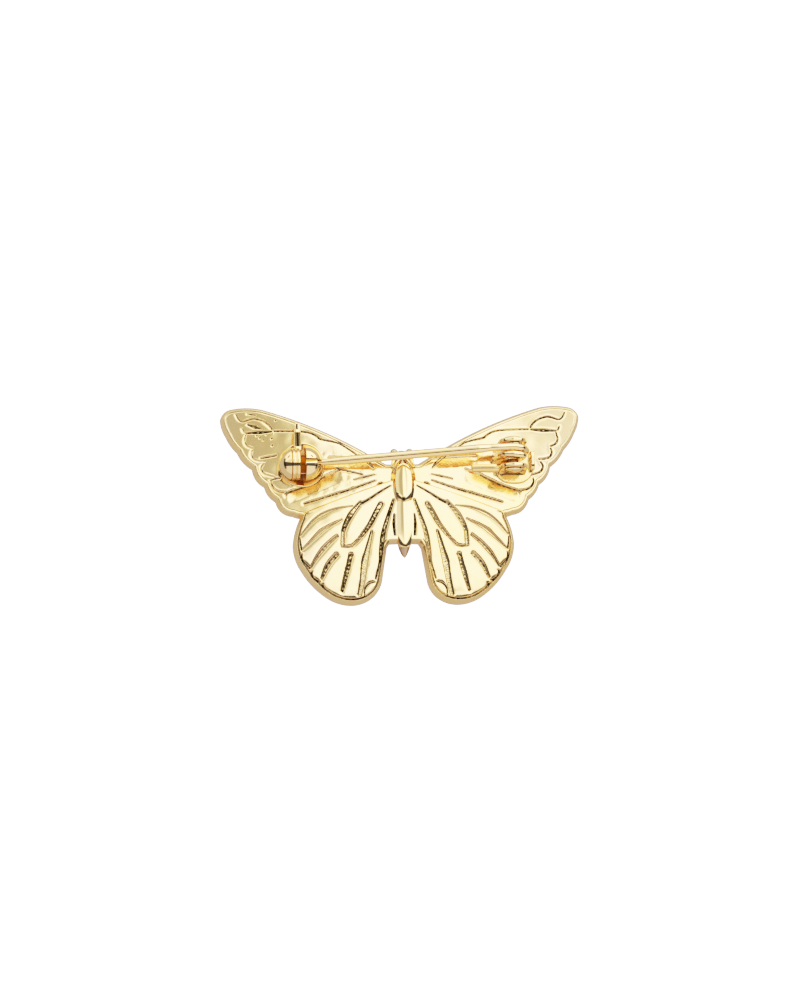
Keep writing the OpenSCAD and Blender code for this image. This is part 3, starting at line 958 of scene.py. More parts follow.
@dataclass
class InsectBody:
    """Thorax, abdomen, head and tail, cast in one with the wings.

    Attributes:
        thorax: Middle, half length, widths and heights, flare, powers and rings of its ridge.
        abdomen: The same for the abdomen's ridge.
        eye_at: Middle of the right eye.
        eye_r: Radius of an eye.
    """

    thorax: tuple[float, float, Triple, float, tuple[float, float], int] = (
        2.65, 2.5, (1.04, 0.66, 0.83), 0.8, (2.7, 2.3), 160
    )
    abdomen: tuple[float, float, Triple, float, tuple[float, float], int] = (
        -2.45, 3.25, (0.92, 0.38, 0.56), 0.14, (3.2, 5.0), 180
    )
    eye_at: Triple = (0.98, 6.74, 1.98)
    eye_r: float = 0.5

    # Place and radius of the hollows at the ends of thorax and abdomen, darkened with painted shade
    SPOTS = [(-0.08, 0.46, 0.32), (0.12, -5.45, 0.16)]
    # Place along the body, half width, lowest and highest height
    UNDER = [(-6.88, 0.0, 1.9, 1.9), (-6.7, 0.2, 1.6, 2.1), (-6.2, 0.48, 1.2, 2.38),
             (-5.4, 0.76, 0.85, 2.7), (-4.0, 0.92, 0.7, 3.0), (-2.0, 0.95, 0.66, 3.05),
             (0.0, 0.85, 0.7, 3.0), (0.9, 0.95, 0.6, 3.0), (2.9, 1.3, 0.38, 3.1), (4.6, 1.2, 0.5, 3.1),
             (5.4, 1.05, 0.7, 2.9), (6.0, 0.95, 0.75, 2.6), (6.6, 0.8, 0.95, 2.3),
             (6.95, 0.45, 1.3, 2.1), (7.08, 0.0, 1.7, 1.7)]
    # Routes of the ridges at the neck and at the waist, with their half widths and heights
    PETALS = [
        ([(-0.12, 6.0, 2.95), (-0.5, 5.5, 3.15), (-0.95, 4.8, 3.2), (-1.28, 3.9, 3.05)], 0.2, 0.26),
        ([(0.12, 6.0, 2.95), (0.45, 5.6, 3.15), (0.85, 5.0, 3.2), (1.2, 4.2, 3.05)], 0.17, 0.24),
        ([(-0.75, 6.5, 2.35), (-1.15, 5.6, 2.8), (-1.4, 4.4, 2.95)], 0.24, 0.24),
        ([(0.75, 6.5, 2.35), (1.15, 5.6, 2.8), (1.4, 4.4, 2.95)], 0.24, 0.24),
        ([(-0.8, 2.2, 3.15), (-0.68, 1.2, 3.2), (-0.58, 0.1, 2.78), (-0.52, -0.6, 2.5)], 0.34, 0.32),
    ]

    def crowned(self, middle: float, reach: float, size: Triple, flare: float,
                powers: tuple[float, float], rings: int) -> Shell:
        """A raised ridge: a crown that is a parabola across, and a steep wall down to the wing.

        Along the body the half width is a superellipse with its own power to each side of the
        middle, and the height one with four times that power.

        Args:
            middle: Place of its middle along the body.
            reach: Half its length.
            size: Half width of the crown, height of its edge and height of its middle.
            flare: How far the foot of the wall stands out from the crown.
            powers: Powers towards the tail and towards the head.
            rings: Rings along the body.

        Returns:
            The shell.
        """
        t = np.sin(np.linspace(-np.pi / 2, np.pi / 2, rings))[:, None]
        y = middle + reach * t
        power = np.where(t < 0, *powers)
        inner = np.clip(1 - np.abs(t) ** power, 0, 1) ** (1 / power)
        high = np.clip(1 - np.abs(t) ** (4 * power), 0, 1) ** (0.25 / power)
        half, edge, top = size[0] * inner, size[1] * high, size[2] * high
        s = np.linspace(-1, 1, 49)
        w = np.linspace(0, 1, 14)[1:]
        foot = half + flare * np.minimum(1, half / 0.5)
        wall_x = half + (foot - half) * w**0.9
        wall_z = edge - (edge + 0.25) * w**0.85
        below = foot * np.linspace(1, -1, 6)[1:-1]
        x = np.concatenate([half * s, wall_x, below, -wall_x[:, ::-1]], axis=1)
        z = [edge + (top - edge) * (1 - s**2), wall_z, 0 * below - 0.3, wall_z[:, ::-1]]
        z = CASTING.back(0 * y, y) + np.concatenate(z, axis=1)
        # The hollows get painted shade through the recess mask.
        hollows = [ease(1.4 - np.hypot(x - at, y - along) / radius) for at, along, radius in self.SPOTS]
        return Shell(grid(x, y, z), UNCAPPED, {"recess": np.max(hollows, axis=0)})

    def under(self) -> Shell:
        """The body that reaches through to the front: ellipses of changing size along it.

        Returns:
            The shell.
        """
        places, *sizes = np.array(self.UNDER).T
        t = np.linspace(0, 1, 120)
        y = places[0] + (places[-1] - places[0]) * (t - 0.12 * np.sin(2 * np.pi * t))
        half, low, high = (spline(list(zip(places, values)), y)[:, None] for values in sizes)
        c, s = superellipse(56, 2.3)
        return Shell(grid(half * c, y[:, None], (low + high) / 2 + (high - low) / 2 * s))

    def petal(self, route: list[Triple], half: float, rise: float) -> Shell:
        """A small ridge along a route, thin at both ends, round on top.

        Args:
            route: Places that its middle passes through.
            half: Half its width.
            rise: Its height over the middle.

        Returns:
            The shell.
        """
        path = smooth_line(route, 12)
        share = np.linspace(0, 1, len(path))
        radius = half * np.sqrt(np.clip(1 - (2 * share - 1) ** 4, 0, 1)) + 0.01
        rings = swept(path, radius, (0, 0, 1), 28)
        rings[..., 2] = path[:, None, 2] + (rings[..., 2] - path[:, None, 2]) * rise / half
        return Shell(rings)

    def eye(self, side: Side) -> Shell:
        """One eye: a ball at the side of the head.

        Args:
            side: Which side.

        Returns:
            The shell.
        """
        a = np.linspace(0, np.pi, 24)[:, None]
        b = np.linspace(0, 2 * np.pi, 32, endpoint=False)
        ball = self.eye_r * grid(np.sin(a) * np.cos(b), np.cos(a), np.sin(a) * np.sin(b))
        return Shell(ball + np.array(self.eye_at) * (side.value, 1, 1), UNCAPPED)

    def build(self, finish: Material, dark: Material) -> None:
        """Makes the body's pieces.

        Args:
            finish: Finish of the ridges.
            dark: Finish of core and eyes, a darker copy of the gold that paints shade on them.
        """
        Piece("body_core", [self.under()]).build(dark)
        Piece("thorax", [self.crowned(*self.thorax)], 50).build(finish)
        Piece("abdomen", [self.crowned(*self.abdomen)], 50).build(finish)
        Piece("collar", [self.petal(*petal) for petal in self.PETALS]).build(finish)
        Piece("eyes", [self.eye(side) for side in Side]).build(dark)


@dataclass
class Catch:
    """Ball catch on the left forewing: two halves of a ball on a pad, and the turning sleeve.

    Attributes:
        centre: Middle of the ball.
        ball_r: Radius of the ball.
        slot: Width between the halves of the solid.
        cap: Length of one half along the axis.
        hole_r: Radius of the hole that the stem enters.
        seat_r: Radius of the sleeve's seat.
        sleeve_r: Radius of the sleeve.
        sleeve_in: How far the sleeve reaches into a half.
        mouth: Width of the mouth in the right half.
        sleeve_gap: Width of the sleeve's slot.
        disc: Start and end of the disc along the axis.
        disc_r: Radius of the disc.
        lever_x: Middle of the lever along the axis.
        turn_deg: Angle that the sleeve turns through.
        left_near: Distance of the left half's near face from the middle.
        right_near: Distance of the right half's near face.
        foot_half: Half the width of the blocks under the ball.
        rib_pitch: Distance of the lever's ribs.
        pad_off: Place of the pad's middle from the ball's, along X and Y.
    """

    centre: Triple = (-13.3, 4.85, 4.95974)
    ball_r: float = 2.14
    slot: float = 1.7
    cap: float = 1.95
    hole_r: float = 0.66
    seat_r: float = 1.17
    sleeve_r: float = 1.12
    sleeve_in: float = 1.209
    mouth: float = 0.74
    sleeve_gap: float = 0.94
    disc: tuple[float, float] = (-1.13, -0.1)
    disc_r: float = 2.0
    lever_x: float = -0.29
    turn_deg: float = 150.0
    left_near: float = 1.18
    right_near: float = 0.6
    foot_half: float = 0.9
    rib_pitch: float = 0.14
    pad_off: tuple[float, float] = (0.5, 0.25)

    # Half width and half thickness of the lever at distances from the axis
    LEVER_HALF = [(1.7, 0.47), (3.95, 0.47), (4.12, 0.43), (4.4, 0.4), (4.9, 0.38), (5.12, 0.3),
                  (5.25, 0.17), (5.3, 0.02)]
    LEVER_THICK = [(1.7, 0.4), (4.0, 0.4), (4.8, 0.36), (5.15, 0.27), (5.3, 0.05)]

    def half(self, way: int, near: float, hole: float, mouth: float) -> Shell:
        """One half of the ball: round outside, edge, seat, and a hole or a floor.

        Args:
            way: 1 for the half towards +X, -1 for the other.
            near: Distance of its near face from the middle.
            hole: Radius of its hole, or 0.
            mouth: Width of its mouth, or 0.

        Returns:
            The shell.
        """
        deep = self.slot / 2 + self.sleeve_in + 0.05
        middle = self.slot / 2 + self.cap - self.ball_r
        edge = 0.09
        start = math.degrees(math.asin(max(hole, 1e-3) / self.ball_r))
        stop = math.degrees(math.acos((near + edge - middle) / self.ball_r))
        outside = arc((middle, 0), self.ball_r, start, stop, 40)
        seat = self.seat_r
        inside = [(near, seat + 0.05), (near + 0.05, seat), (deep, seat), (deep, hole)]
        rim = arc((near + edge, outside[-1, 1] - edge), edge, 100, 180, 5)
        rings = turned(np.concatenate([outside, rim, inside]), 120, mouth)
        return Shell(rings * (way, 1, 1) + self.centre, LOOPED if mouth else UNCAPPED)

    def pad(self) -> Shell:
        """Round pad that the ball is soldered to: a shallow dish with a rolled rim on the wing.

        Returns:
            The shell.
        """
        r, z = np.concatenate([
            [(0.02, -0.25), (2.87, -0.25)],
            arc((2.73, 0.12), 0.14, -30, 100, 9),
            [(2.6, 0.23), (2.35, 0.16), (2.1, 0.09), (1.9, 0.06), (1.2, 0.05), (0.02, 0.05)],
        ]).T
        a = np.linspace(0, 2 * np.pi, 121)[:, None]
        x = self.centre[0] + self.pad_off[0] + r * np.cos(a)
        y = self.centre[1] + self.pad_off[1] + r * np.sin(a)
        top = z > -0.1
        # The dish round the ball gets painted orange shade from the pad's finish.
        masks = {"recess": 0.55 * ease((2.55 - r) / 0.4) * top, "grain": 1.0 * (r < 2.65) * top}
        return Shell(grid(x, y, CASTING.back(x, y) + z), UNCAPPED, masks)

    def foot(self, x0: float, x1: float, high: float) -> Shell:
        """A block between the pad and the ball.

        Args:
            x0: Its start along X, from the ball's middle.
            x1: Its end.
            high: Height of its top.

        Returns:
            The shell.
        """
        x, y, _ = self.centre
        loop = rounded((x + (x0 + x1) / 2, y), ((x1 - x0) / 2, self.foot_half), 8.0, 48)
        return Shell(slab(loop, CASTING.back(x, y) - 0.2, high, 0.08))

    def sleeve(self) -> Shell:
        """The turning sleeve, slotted for the stem on the side away from the mouth.

        Its disc's edge has two ridges with a fine groove between.

        Returns:
            The shell.
        """
        end = self.slot / 2 + self.sleeve_in
        x0, x1 = self.disc
        mid, r, tube, near = (x0 + x1) / 2, self.disc_r, self.sleeve_r, self.right_near
        profile = np.array([
            (end, self.hole_r), (end, tube), (near + 0.06, tube), (near, tube), (x1, tube + 0.02),
            (x1, r - 0.12), (x1 - 0.05, r - 0.04), (x1 - 0.13, r), (mid + 0.16, r - 0.01),
            (mid + 0.08, r - 0.05), (mid + 0.03, r - 0.15), (mid - 0.03, r - 0.15), (mid - 0.08, r - 0.05),
            (mid - 0.16, r - 0.01), (x0 + 0.13, r), (x0 + 0.05, r - 0.04), (x0, r - 0.12),
            (x0, tube + 0.02), (-end, tube), (-end, self.hole_r),
        ])
        rings = turned(profile, 140, self.sleeve_gap, self.turn_deg)
        x, r = profile.T
        # The tube seen in the gap between disc and right half gets painted orange shade.
        gap_shade = (x > x1 - 0.01) & (x < near + 0.01) & (r < tube + 0.1)
        return Shell(rings + self.centre, LOOPED, {"recess": 1.0 * gap_shade})

    def lever(self) -> Shell:
        """The lever: a rounded bar with fine ribs sunk in the face of its tab and a slit in its tip.

        The bar's section is a rounded rectangle. Over the tab the face sinks by a shallow tray with
        a cosine of ribs across, and over the tip by a narrow slit.

        Returns:
            The shell.
        """
        y = np.concatenate([np.linspace(1.7, 4.1, 70), np.linspace(4.12, 5.3, 60)])[:, None]
        half, thick = spline(self.LEVER_HALF, y), spline(self.LEVER_THICK, y)
        c, s = superellipse(128, 5.0)
        x = half * c
        face = ease((s - 0.7) / 0.2) * ease((0.4 - np.abs(x)) / 0.06)
        tray = ease((y - 2.15) / 0.1) * ease((4.02 - y) / 0.1) * face
        ribs = 0.5 + 0.5 * np.cos(2 * np.pi * x / self.rib_pitch)
        slit = ease((y - 4.35) / 0.1) * ease((5.1 - y) / 0.1) * ease((0.12 - np.abs(x + 0.05)) / 0.05)
        z = thick * s - tray * (0.06 + 0.09 * ribs) - 0.2 * slit * ease((s - 0.6) / 0.2)
        # Painted shade in the troughs of the ribs and in the slit.
        mask = np.clip(tray * (0.35 + 0.65 * ribs) + slit * face, 0, 1)
        return Shell(grid(x + self.lever_x, y, z) + self.centre, masks={"recess": mask})

    def build(self, finish: Material, deep: Material) -> None:
        """Makes the catch.

        Args:
            finish: Finish of ball, feet and lever.
            deep: Finish of pad and sleeve, whose recesses get painted orange shade.
        """
        low = self.centre[2] - self.seat_r - 0.1
        near, reach = self.slot / 2, self.slot / 2 + self.cap * 0.62
        feet = [
            self.foot(near, reach, low),
            self.foot(-reach, -near, low),
            self.foot(-near - 0.05, near + 0.05, self.centre[2] - self.disc_r - 0.06),
        ]
        left = self.half(-1, self.left_near, 0.0, 0.0)
        right = self.half(1, self.right_near, self.hole_r, self.mouth)
        rotor = ("catch_rotor", "rotor", "catch_rotor")
        Piece("catch_pad", [self.pad()], 60).build(deep)
        Piece("catch_feet", feet, 40).build(finish)
        Piece("catch_ball", [left, right], 40).build(finish)
        Piece("catch_sleeve", [self.sleeve()], 50, *rotor).build(deep)
        Piece("catch_lever", [self.lever()], 0, *rotor).build(finish)


@dataclass
class Hinge:
    """Hinge on the right forewing: bracket with two ears, a stop, a rivet and the anchor wire.

    Attributes:
        centre: Where the rivet's axis meets the stem's first turn.
        rivet_r: Radius of the rivet.
        neck_r: Radius of the rivet between the lower ear and the turns.
        ear_r: Radius of the ears.
        ear_t: Thickness of the ears.
        upper_ear: Near face of the upper ear.
        lower_ear: Near face of the lower ear.
        rise: Height of the axis above the wing.
        base_at: Middle of the base in X and Y.
        base_half: Its half widths.
        stop_at: Middle of the stop along Y, and its height over the wing.
        stop_half: Its half widths along Y and in height.
        stop_x: Its two faces.
        wire_x: Ends of the anchor wire.
        wire_y: Its place along Y.
        wire_r: Its radius.
        wire_over: Place along X over which its height is taken.
        wire_rise: Height of its middle over the wing there.
        head_rise: Heights of the rivet's lower and upper head.
        head_over: How far they stand out from the rivet.
    """

    centre: Triple = (13.9, 6.5, 5.23043)
    rivet_r: float = 1.13
    neck_r: float = 0.62
    ear_r: float = 1.77
    ear_t: float = 0.5
    upper_ear: float = 7.21
    lower_ear: float = 3.985
    rise: float = 2.7
    base_at: tuple[float, float] = (14.25, 5.1)
    base_half: tuple[float, float] = (2.5, 2.6)
    stop_at: tuple[float, float] = (5.2425, 0.78)
    stop_half: tuple[float, float] = (1.2575, 1.12)
    stop_x: tuple[float, float] = (16.2, 16.75)
    wire_x: tuple[float, float] = (8.83, 12.6)
    wire_y: float = 4.485
    wire_r: float = 0.5
    wire_over: float = 10.5
    wire_rise: float = 0.325
    head_rise: tuple[float, float] = (0.56, 0.42)
    head_over: float = 0.12

    def ear(self, y: float, spread: float) -> Shell:
        """An ear: a plate, round over the rivet and straight below it, that may spread outwards.

        Args:
            y: Place of its lower face.
            spread: Slope of that face below the rivet.

        Returns:
            The shell.
        """
        r, drop = self.ear_r, self.rise + 0.3
        loop = np.concatenate([
            arc((0, 0), r, 0, 180, 49),
            np.linspace((-r, -0.2), (-r, -drop), 12),
            np.linspace((-r, -drop), (r, -drop), 14)[1:-1],
            np.linspace((r, -drop), (r, -0.2), 12),
        ])
        rings = slab(loop, 0, self.ear_t, 0.13)
        rings[..., 2] -= spread * np.clip(0.8 - rings[..., 1], 0, 3.4) * (1 - rings[..., 2] / self.ear_t)
        axes = ((1, 0, 0), (0, 0, 1), (0, 1, 0))
        return Shell(placed(rings, axes, (self.centre[0], y, self.centre[2])))

    def base(self) -> Shell:
        """The bracket's foot, a rounded oval plate on the wing.

        Returns:
            The shell.
        """
        z = self.centre[2] - self.rise
        rings = slab(rounded(self.base_at, self.base_half, 2.6, 96), z - 0.35, z + 0.28, 0.12)
        # The base gets the coarse grain and some painted orange reflection.
        return Shell(rings, masks={"grain": 1.0, "warm": 0.35})

    def stop(self) -> Shell:
        """The stop beside the eye: an upright tab with round corners.

        Returns:
            The shell.
        """
        middle = (self.stop_at[0], self.centre[2] - self.rise + self.stop_at[1])
        rings = slab(rounded(middle, self.stop_half, 4.0, 64), *self.stop_x, 0.16)
        return Shell(placed(rings, ((0, 1, 0), (0, 0, 1), (1, 0, 0)), (0, 0, 0)))

    def anchor(self) -> Shell:
        """The soldered anchor wire: a round bar along X with a flat end.

        Returns:
            The shell.
        """
        (x0, x1), y, r = self.wire_x, self.wire_y, self.wire_r
        profile = [(x0, 0.0), (x0, r - 0.09), (x0 + 0.03, r - 0.03), (x0 + 0.09, r), (x1, r), (x1, 0.0)]
        rings = turned(np.array(profile), 48)
        return Shell(rings + (0, y, CASTING.back(self.wire_over, y) + self.wire_rise), UNCAPPED)

    def rivet(self) -> Shell:
        """The rivet: a pin along Y with a domed head at each end and a neck between ear and turns.

        Returns:
            The shell.
        """
        r, slim = self.rivet_r, self.neck_r
        y0, y1 = self.lower_ear - 0.62, self.upper_ear + self.ear_t + 0.45
        near = self.lower_ear + self.ear_t
        dome = arc((0, 0), 1.0, 90, 0, 14)
        rise, over = self.head_rise, r + self.head_over
        low = np.stack([y0 + rise[0] * (1 - dome[:, 1]), over * dome[:, 0]], axis=1)
        high = np.stack([y1 - rise[1] * (1 - dome[:, 1]), over * dome[:, 0]], axis=1)[::-1]
        neck = [(y0 + rise[0] + 0.03, r), (near, r), (near + 0.04, slim), (near + 0.52, slim),
                (near + 0.56, r), (y1 - rise[1] - 0.03, r)]
        profile = np.concatenate([low, neck, high])
        axes = ((0, 1, 0), (1, 0, 0), (0, 0, 1))
        rings = placed(turned(profile, 64), axes, (self.centre[0], 0, self.centre[2]))
        # The neck between ear and turns gets painted orange shade.
        return Shell(rings, UNCAPPED, {"recess": 0.9 * (np.abs(profile[:, 1] - slim) < 0.01)})

    def build(self, finish: Material, deep: Material, cast: Material) -> None:
        """Makes the hinge.

        Args:
            finish: Finish of ears, stop and wire.
            deep: Finish of the rivet, whose neck gets painted orange shade.
            cast: Finish of the base.
        """
        ears = [self.ear(self.upper_ear, 0.0), self.ear(self.lower_ear, 0.13)]
        Piece("hinge_base", [self.base()], 40).build(cast)
        Piece("hinge_ears", ears, 40).build(finish)
        Piece("hinge_stop", [self.stop()], 40).build(finish)
        Piece("anchor_wire", [self.anchor()], 40).build(finish)
        Piece("rivet", [self.rivet()], 50, "butterfly", "rivet", "hinge_rivet").build(deep)


@dataclass
class PinStem:
    """The pin: one wire wound round the rivet, bent, swelling to its shank and ground to a point.

    Attributes:
        hinge: Where the axis meets the first turn.
        coil_r: Radius of the turns at the wire's middle.
        pitch: Distance of the turns.
        turns_deg: Angle that the turns go through.
        bend_r: Radius of the slight bend.
        bend_deg: Angle of the bend.
        lean_deg: Lean of the bend's plane.
        neck_r: Radius of the wire in the turns.
        shank_r: Radius of the shank.
        entry_r: Radius where it enters the catch.
        flare: Length from the bend over which the wire swells.
        shank: Length of the shank.
        straight: Length from the bend to where the point begins.
        point: Length of the point.
    """

    hinge: Triple = (13.9, 6.5, 5.23043)
    coil_r: float = 1.62
    pitch: float = 0.945
    turns_deg: float = 415.0
    bend_r: float = 30.0
    bend_deg: float = 5.96757
    lean_deg: float = 41.1111
    neck_r: float = 0.45
    shank_r: float = 0.55
    entry_r: float = 0.34
    flare: float = 1.6
    shank: float = 15.5
    straight: float = 22.233
    point: float = 2.6

    def path(self) -> tuple[Array, Array]:
        """Centre line and radii: a helix to the top of the eye, an arc, and the straight pin.

        Returns:
            Points in millimetres and the wire's radius at each.
        """
        a = np.radians(np.linspace(90 - self.turns_deg, 90, 150))
        sunk = self.pitch * (np.pi / 2 - a) / (2 * np.pi)
        turns = grid(self.coil_r * np.cos(a), -sunk, self.coil_r * np.sin(a))
        b = np.radians(np.linspace(0, self.bend_deg, 14)[1:])
        lean = math.radians(self.lean_deg)
        down = -self.bend_r * (1 - np.cos(b))
        bend = grid(-self.bend_r * np.sin(b), down * math.sin(lean), self.coil_r + down * math.cos(lean))
        swollen, end = self.flare + self.shank, self.straight + self.point
        ahead = np.concatenate([
            np.linspace(0, self.flare, 12)[1:], np.linspace(self.flare, swollen, 40)[1:],
            np.linspace(swollen, self.straight, 16)[1:],
            self.straight + self.point * (1 - np.linspace(1, 0, 24)[1:] ** 1.4),
        ])
        pin = bend[-1] + ahead[:, None] * unit(bend[-1] - bend[-2])
        knots = [(0, self.neck_r), (self.flare, self.shank_r), (swollen, self.shank_r),
                 (self.straight, self.entry_r), (self.straight + self.point * 0.6, 0.19),
                 (end - 0.12, 0.07), (end, 0.01)]
        radii = np.concatenate([np.full(len(turns) + len(bend), self.neck_r), spline(knots, ahead)])
        radii[:4] *= np.array([0.7, 0.88, 0.97, 1.0])
        return np.concatenate([turns, bend, pin]) + self.hinge, radii

    def build(self, finish: Material) -> None:
        """Makes the pin.

        Args:
            finish: The wire's finish.
        """
        path, radii = self.path()
        pin = Shell(swept(path, radii, (0, 1, 0), 48))
        Piece("pin_wire", [pin], 55, "pin_stem", "stem", "pin_stem").build(finish)


# Finishes


class Nodes:
    """Short way to place and join the nodes of one tree."""

    def __init__(self, tree: Tree) -> None:
        """Starts on an emptied tree."""
        self.tree = tree
        tree.nodes.clear()

    def add(self, kind: str, **values: object) -> bpy.types.Node:
        """Adds a node.

        Args:
            kind: Kind of node.
            values: Attributes by name. An input goes by in_ and its name or number, and is given a
                value or the socket that it is joined to.

        Returns:
            The node.
        """
        node = self.tree.nodes.new(kind)
        for key, value in values.items():
            if key.startswith("in_"):
                label = key[3:].replace("_", " ")
                socket = node.inputs[int(label) if label.isdigit() else label]
                if isinstance(value, Socket):
                    self.tree.links.new(value, socket)
                else:
                    socket.default_value = value
            else:
                setattr(node, key, value)
        return node

    def math(self, operation: str, *values: object) -> Socket:
        """Result of a Math node on one or two sockets or numbers.

        Args:
            operation: Name of the operation.
            *values: Sockets or numbers.

        Returns:
            The result.
        """
        inputs = {f"in_{k}": value for k, value in enumerate(values)}
        return self.add("ShaderNodeMath", operation=operation, **inputs).outputs[0]

    def times(self, *values: object) -> Socket:
        """Product of sockets or numbers."""
        return reduce(lambda a, b: self.math("MULTIPLY", a, b), values)

    def plus(self, *values: object) -> Socket:
        """Sum of sockets or numbers."""
        return reduce(lambda a, b: self.math("ADD", a, b), values)

    def without(self, share: Socket) -> Socket:
        """What a share leaves of 1."""
        return self.math("SUBTRACT", 1.0, share)

    def ramp(self, value: Socket, low: float, high: float, a: float = 0.0,
             b: float = 1.0) -> Socket:
        """Value brought smoothly from low..high to a..b.

        Args:
            value: What is brought over.
            low: Value that gives a.
            high: Value that gives b.
            a: First result.
            b: Last result.

        Returns:
            The result.
        """
        node = self.add(
            "ShaderNodeMapRange", interpolation_type="SMOOTHSTEP",
            in_Value=value, in_From_Min=low, in_From_Max=high, in_To_Min=a, in_To_Max=b,
        )
        return node.outputs["Result"]


def plating_group() -> Tree:
    """Group that colours plated metal: paler and redder patches, painted shade in the duller recesses, and
    a painted orange reflection.

    Returns:
        The group.
    """
    tree = bpy.data.node_groups.new("plating", "ShaderNodeTree")
    colour, number = "NodeSocketColor", "NodeSocketFloat"
    inputs = {"Tone": colour, "Recess Tone": colour, "Recess": number, "Gloss": number,
              "Grain Size": number, "Coarse": number, "Warm": number}
    outputs = {"Color": colour, "Roughness": number, "Height": number}
    for way, sockets in (("INPUT", inputs), ("OUTPUT", outputs)):
        for name, kind in sockets.items():
            tree.interface.new_socket(name, in_out=way, socket_type=kind)
    n = Nodes(tree)
    given = n.add("NodeGroupInput").outputs
    recess, warm = given["Recess"], given["Warm"]
    where = n.add("ShaderNodeTexCoord").outputs["Object"]
    patches = n.add("ShaderNodeTexNoise", in_Scale=220.0, in_Detail=2.0, in_Vector=where).outputs["Fac"]
    grain = n.add(
        "ShaderNodeTexNoise", in_Detail=3.0, in_Roughness=0.6, in_Vector=where,
        in_Scale=given["Grain Size"],
    ).outputs["Fac"]
    # Painted orange reflection: the tone multiplied towards orange as far as Warm goes.
    orange_reflection = n.add(
        "ShaderNodeMix", data_type="RGBA", blend_type="MULTIPLY",
        in_Factor=warm, in_A=given["Tone"], in_B=(1.0, 0.74, 0.3, 1),
    )
    shade = n.add(
        "ShaderNodeHueSaturation", in_Saturation=n.ramp(patches, 0.3, 0.7, 0.94, 1.05),
        in_Value=n.ramp(grain, 0.3, 0.7, 0.98, 1.0), in_Color=orange_reflection.outputs["Result"],
    )
    # Painted shade: the recesses mix towards the recess tone.
    mix = n.add(
        "ShaderNodeMix", data_type="RGBA",
        in_Factor=recess, in_A=shade.outputs["Color"], in_B=given["Recess Tone"],
    )
    rougher = n.plus(given["Coarse"], n.times(warm, 3.0))
    n.add(
        "NodeGroupOutput", in_Color=mix.outputs["Result"],
        in_Roughness=n.plus(given["Gloss"], n.plus(n.times(recess, 0.3), n.times(warm, 0.14))),
        in_Height=n.times(grain, n.plus(n.times(rougher, 5.0), 1.0)),
    )
    return tree


@dataclass(frozen=True)
class GoldFinish:
    """A finish of plated gold.

    Attributes:
        name: Name of the material.
        tone: Colour of the plating.
        recess: Colour of the painted shade in its recesses, whose floors are also duller.
        gloss: Roughness of the plating.
        grain: Grains of the surface in each metre.
        bumps: Height of the grain in metres.
    """

    name: str
    tone: Triple = (0.97, 0.715, 0.33)
    # Near-black painted shade for the recesses.
    recess: Triple = (0.035, 0.02, 0.001)
    gloss: float = 0.09
    grain: float = 2600.0
    bumps: float = 1.2e-6

    def build(self, group: Tree) -> Material:
        """Makes the material on the shared plating group.

        Args:
            group: The shared plating group.

        Returns:
            The material.
        """
        material = bpy.data.materials.new(self.name)
        material.use_nodes = True
        n = Nodes(material.node_tree)
        names = ("recess", "grain", "warm")
        sunk, coarse, warm = (n.add("ShaderNodeAttribute", attribute_name=s).outputs["Fac"] for s in names)
        plating = n.add(
            "ShaderNodeGroup", node_tree=group, in_Tone=(*self.tone, 1), in_Recess_Tone=(*self.recess, 1),
            in_Gloss=self.gloss, in_Grain_Size=self.grain, in_Recess=sunk, in_Coarse=coarse, in_Warm=warm,
        ).outputs
        bump = n.add(
            "ShaderNodeBump", in_Strength=1.0, in_Distance=self.bumps, in_Height=plating["Height"]
        )
        metal = n.add(
            "ShaderNodeBsdfPrincipled", in_Metallic=1.0, in_Base_Color=plating["Color"],
            in_Roughness=plating["Roughness"], in_Normal=bump.outputs["Normal"],
        )
        n.add("ShaderNodeOutputMaterial", in_Surface=metal.outputs["BSDF"])
        return material


# The setting


@dataclass(frozen=True)
class Patch:
    """An oval place in the light around the brooch where it is dimmer.

    Attributes:
        across: Angle of its middle from the zenith towards +X, in degrees.
        along: Angle of its middle from the zenith towards +Y, in degrees.
        half: Half widths in degrees, towards +X and towards +Y.
        soft: Share of the half width over which it fades, on both sides of its edge.
        dim: How much light it takes away, from 0 to 1.
    """

    across: float
    along: float
    half: tuple[float, float]
    soft: float
    dim: float

    def light(self, n: Nodes, u: Socket, v: Socket) -> Socket:
        """Light that it lets through, from the distance in half widths from its middle.

        Args:
            n: The sky's nodes.
            u: Place across.
            v: Place along.

        Returns:
            The share of the light.
        """
        squares = []
        for socket, middle, half in ((u, self.across, self.half[0]), (v, self.along, self.half[1])):
            low, high = math.tan(math.radians(middle - half)), math.tan(math.radians(middle + half))
            off = n.math("DIVIDE", n.math("SUBTRACT", socket, (low + high) / 2), (high - low) / 2)
            squares.append(n.math("POWER", n.math("ABSOLUTE", off), 2.0))
        return n.ramp(n.math("SQRT", n.plus(*squares)), 1 - self.soft, 1 + self.soft, 1 - self.dim, 1.0)


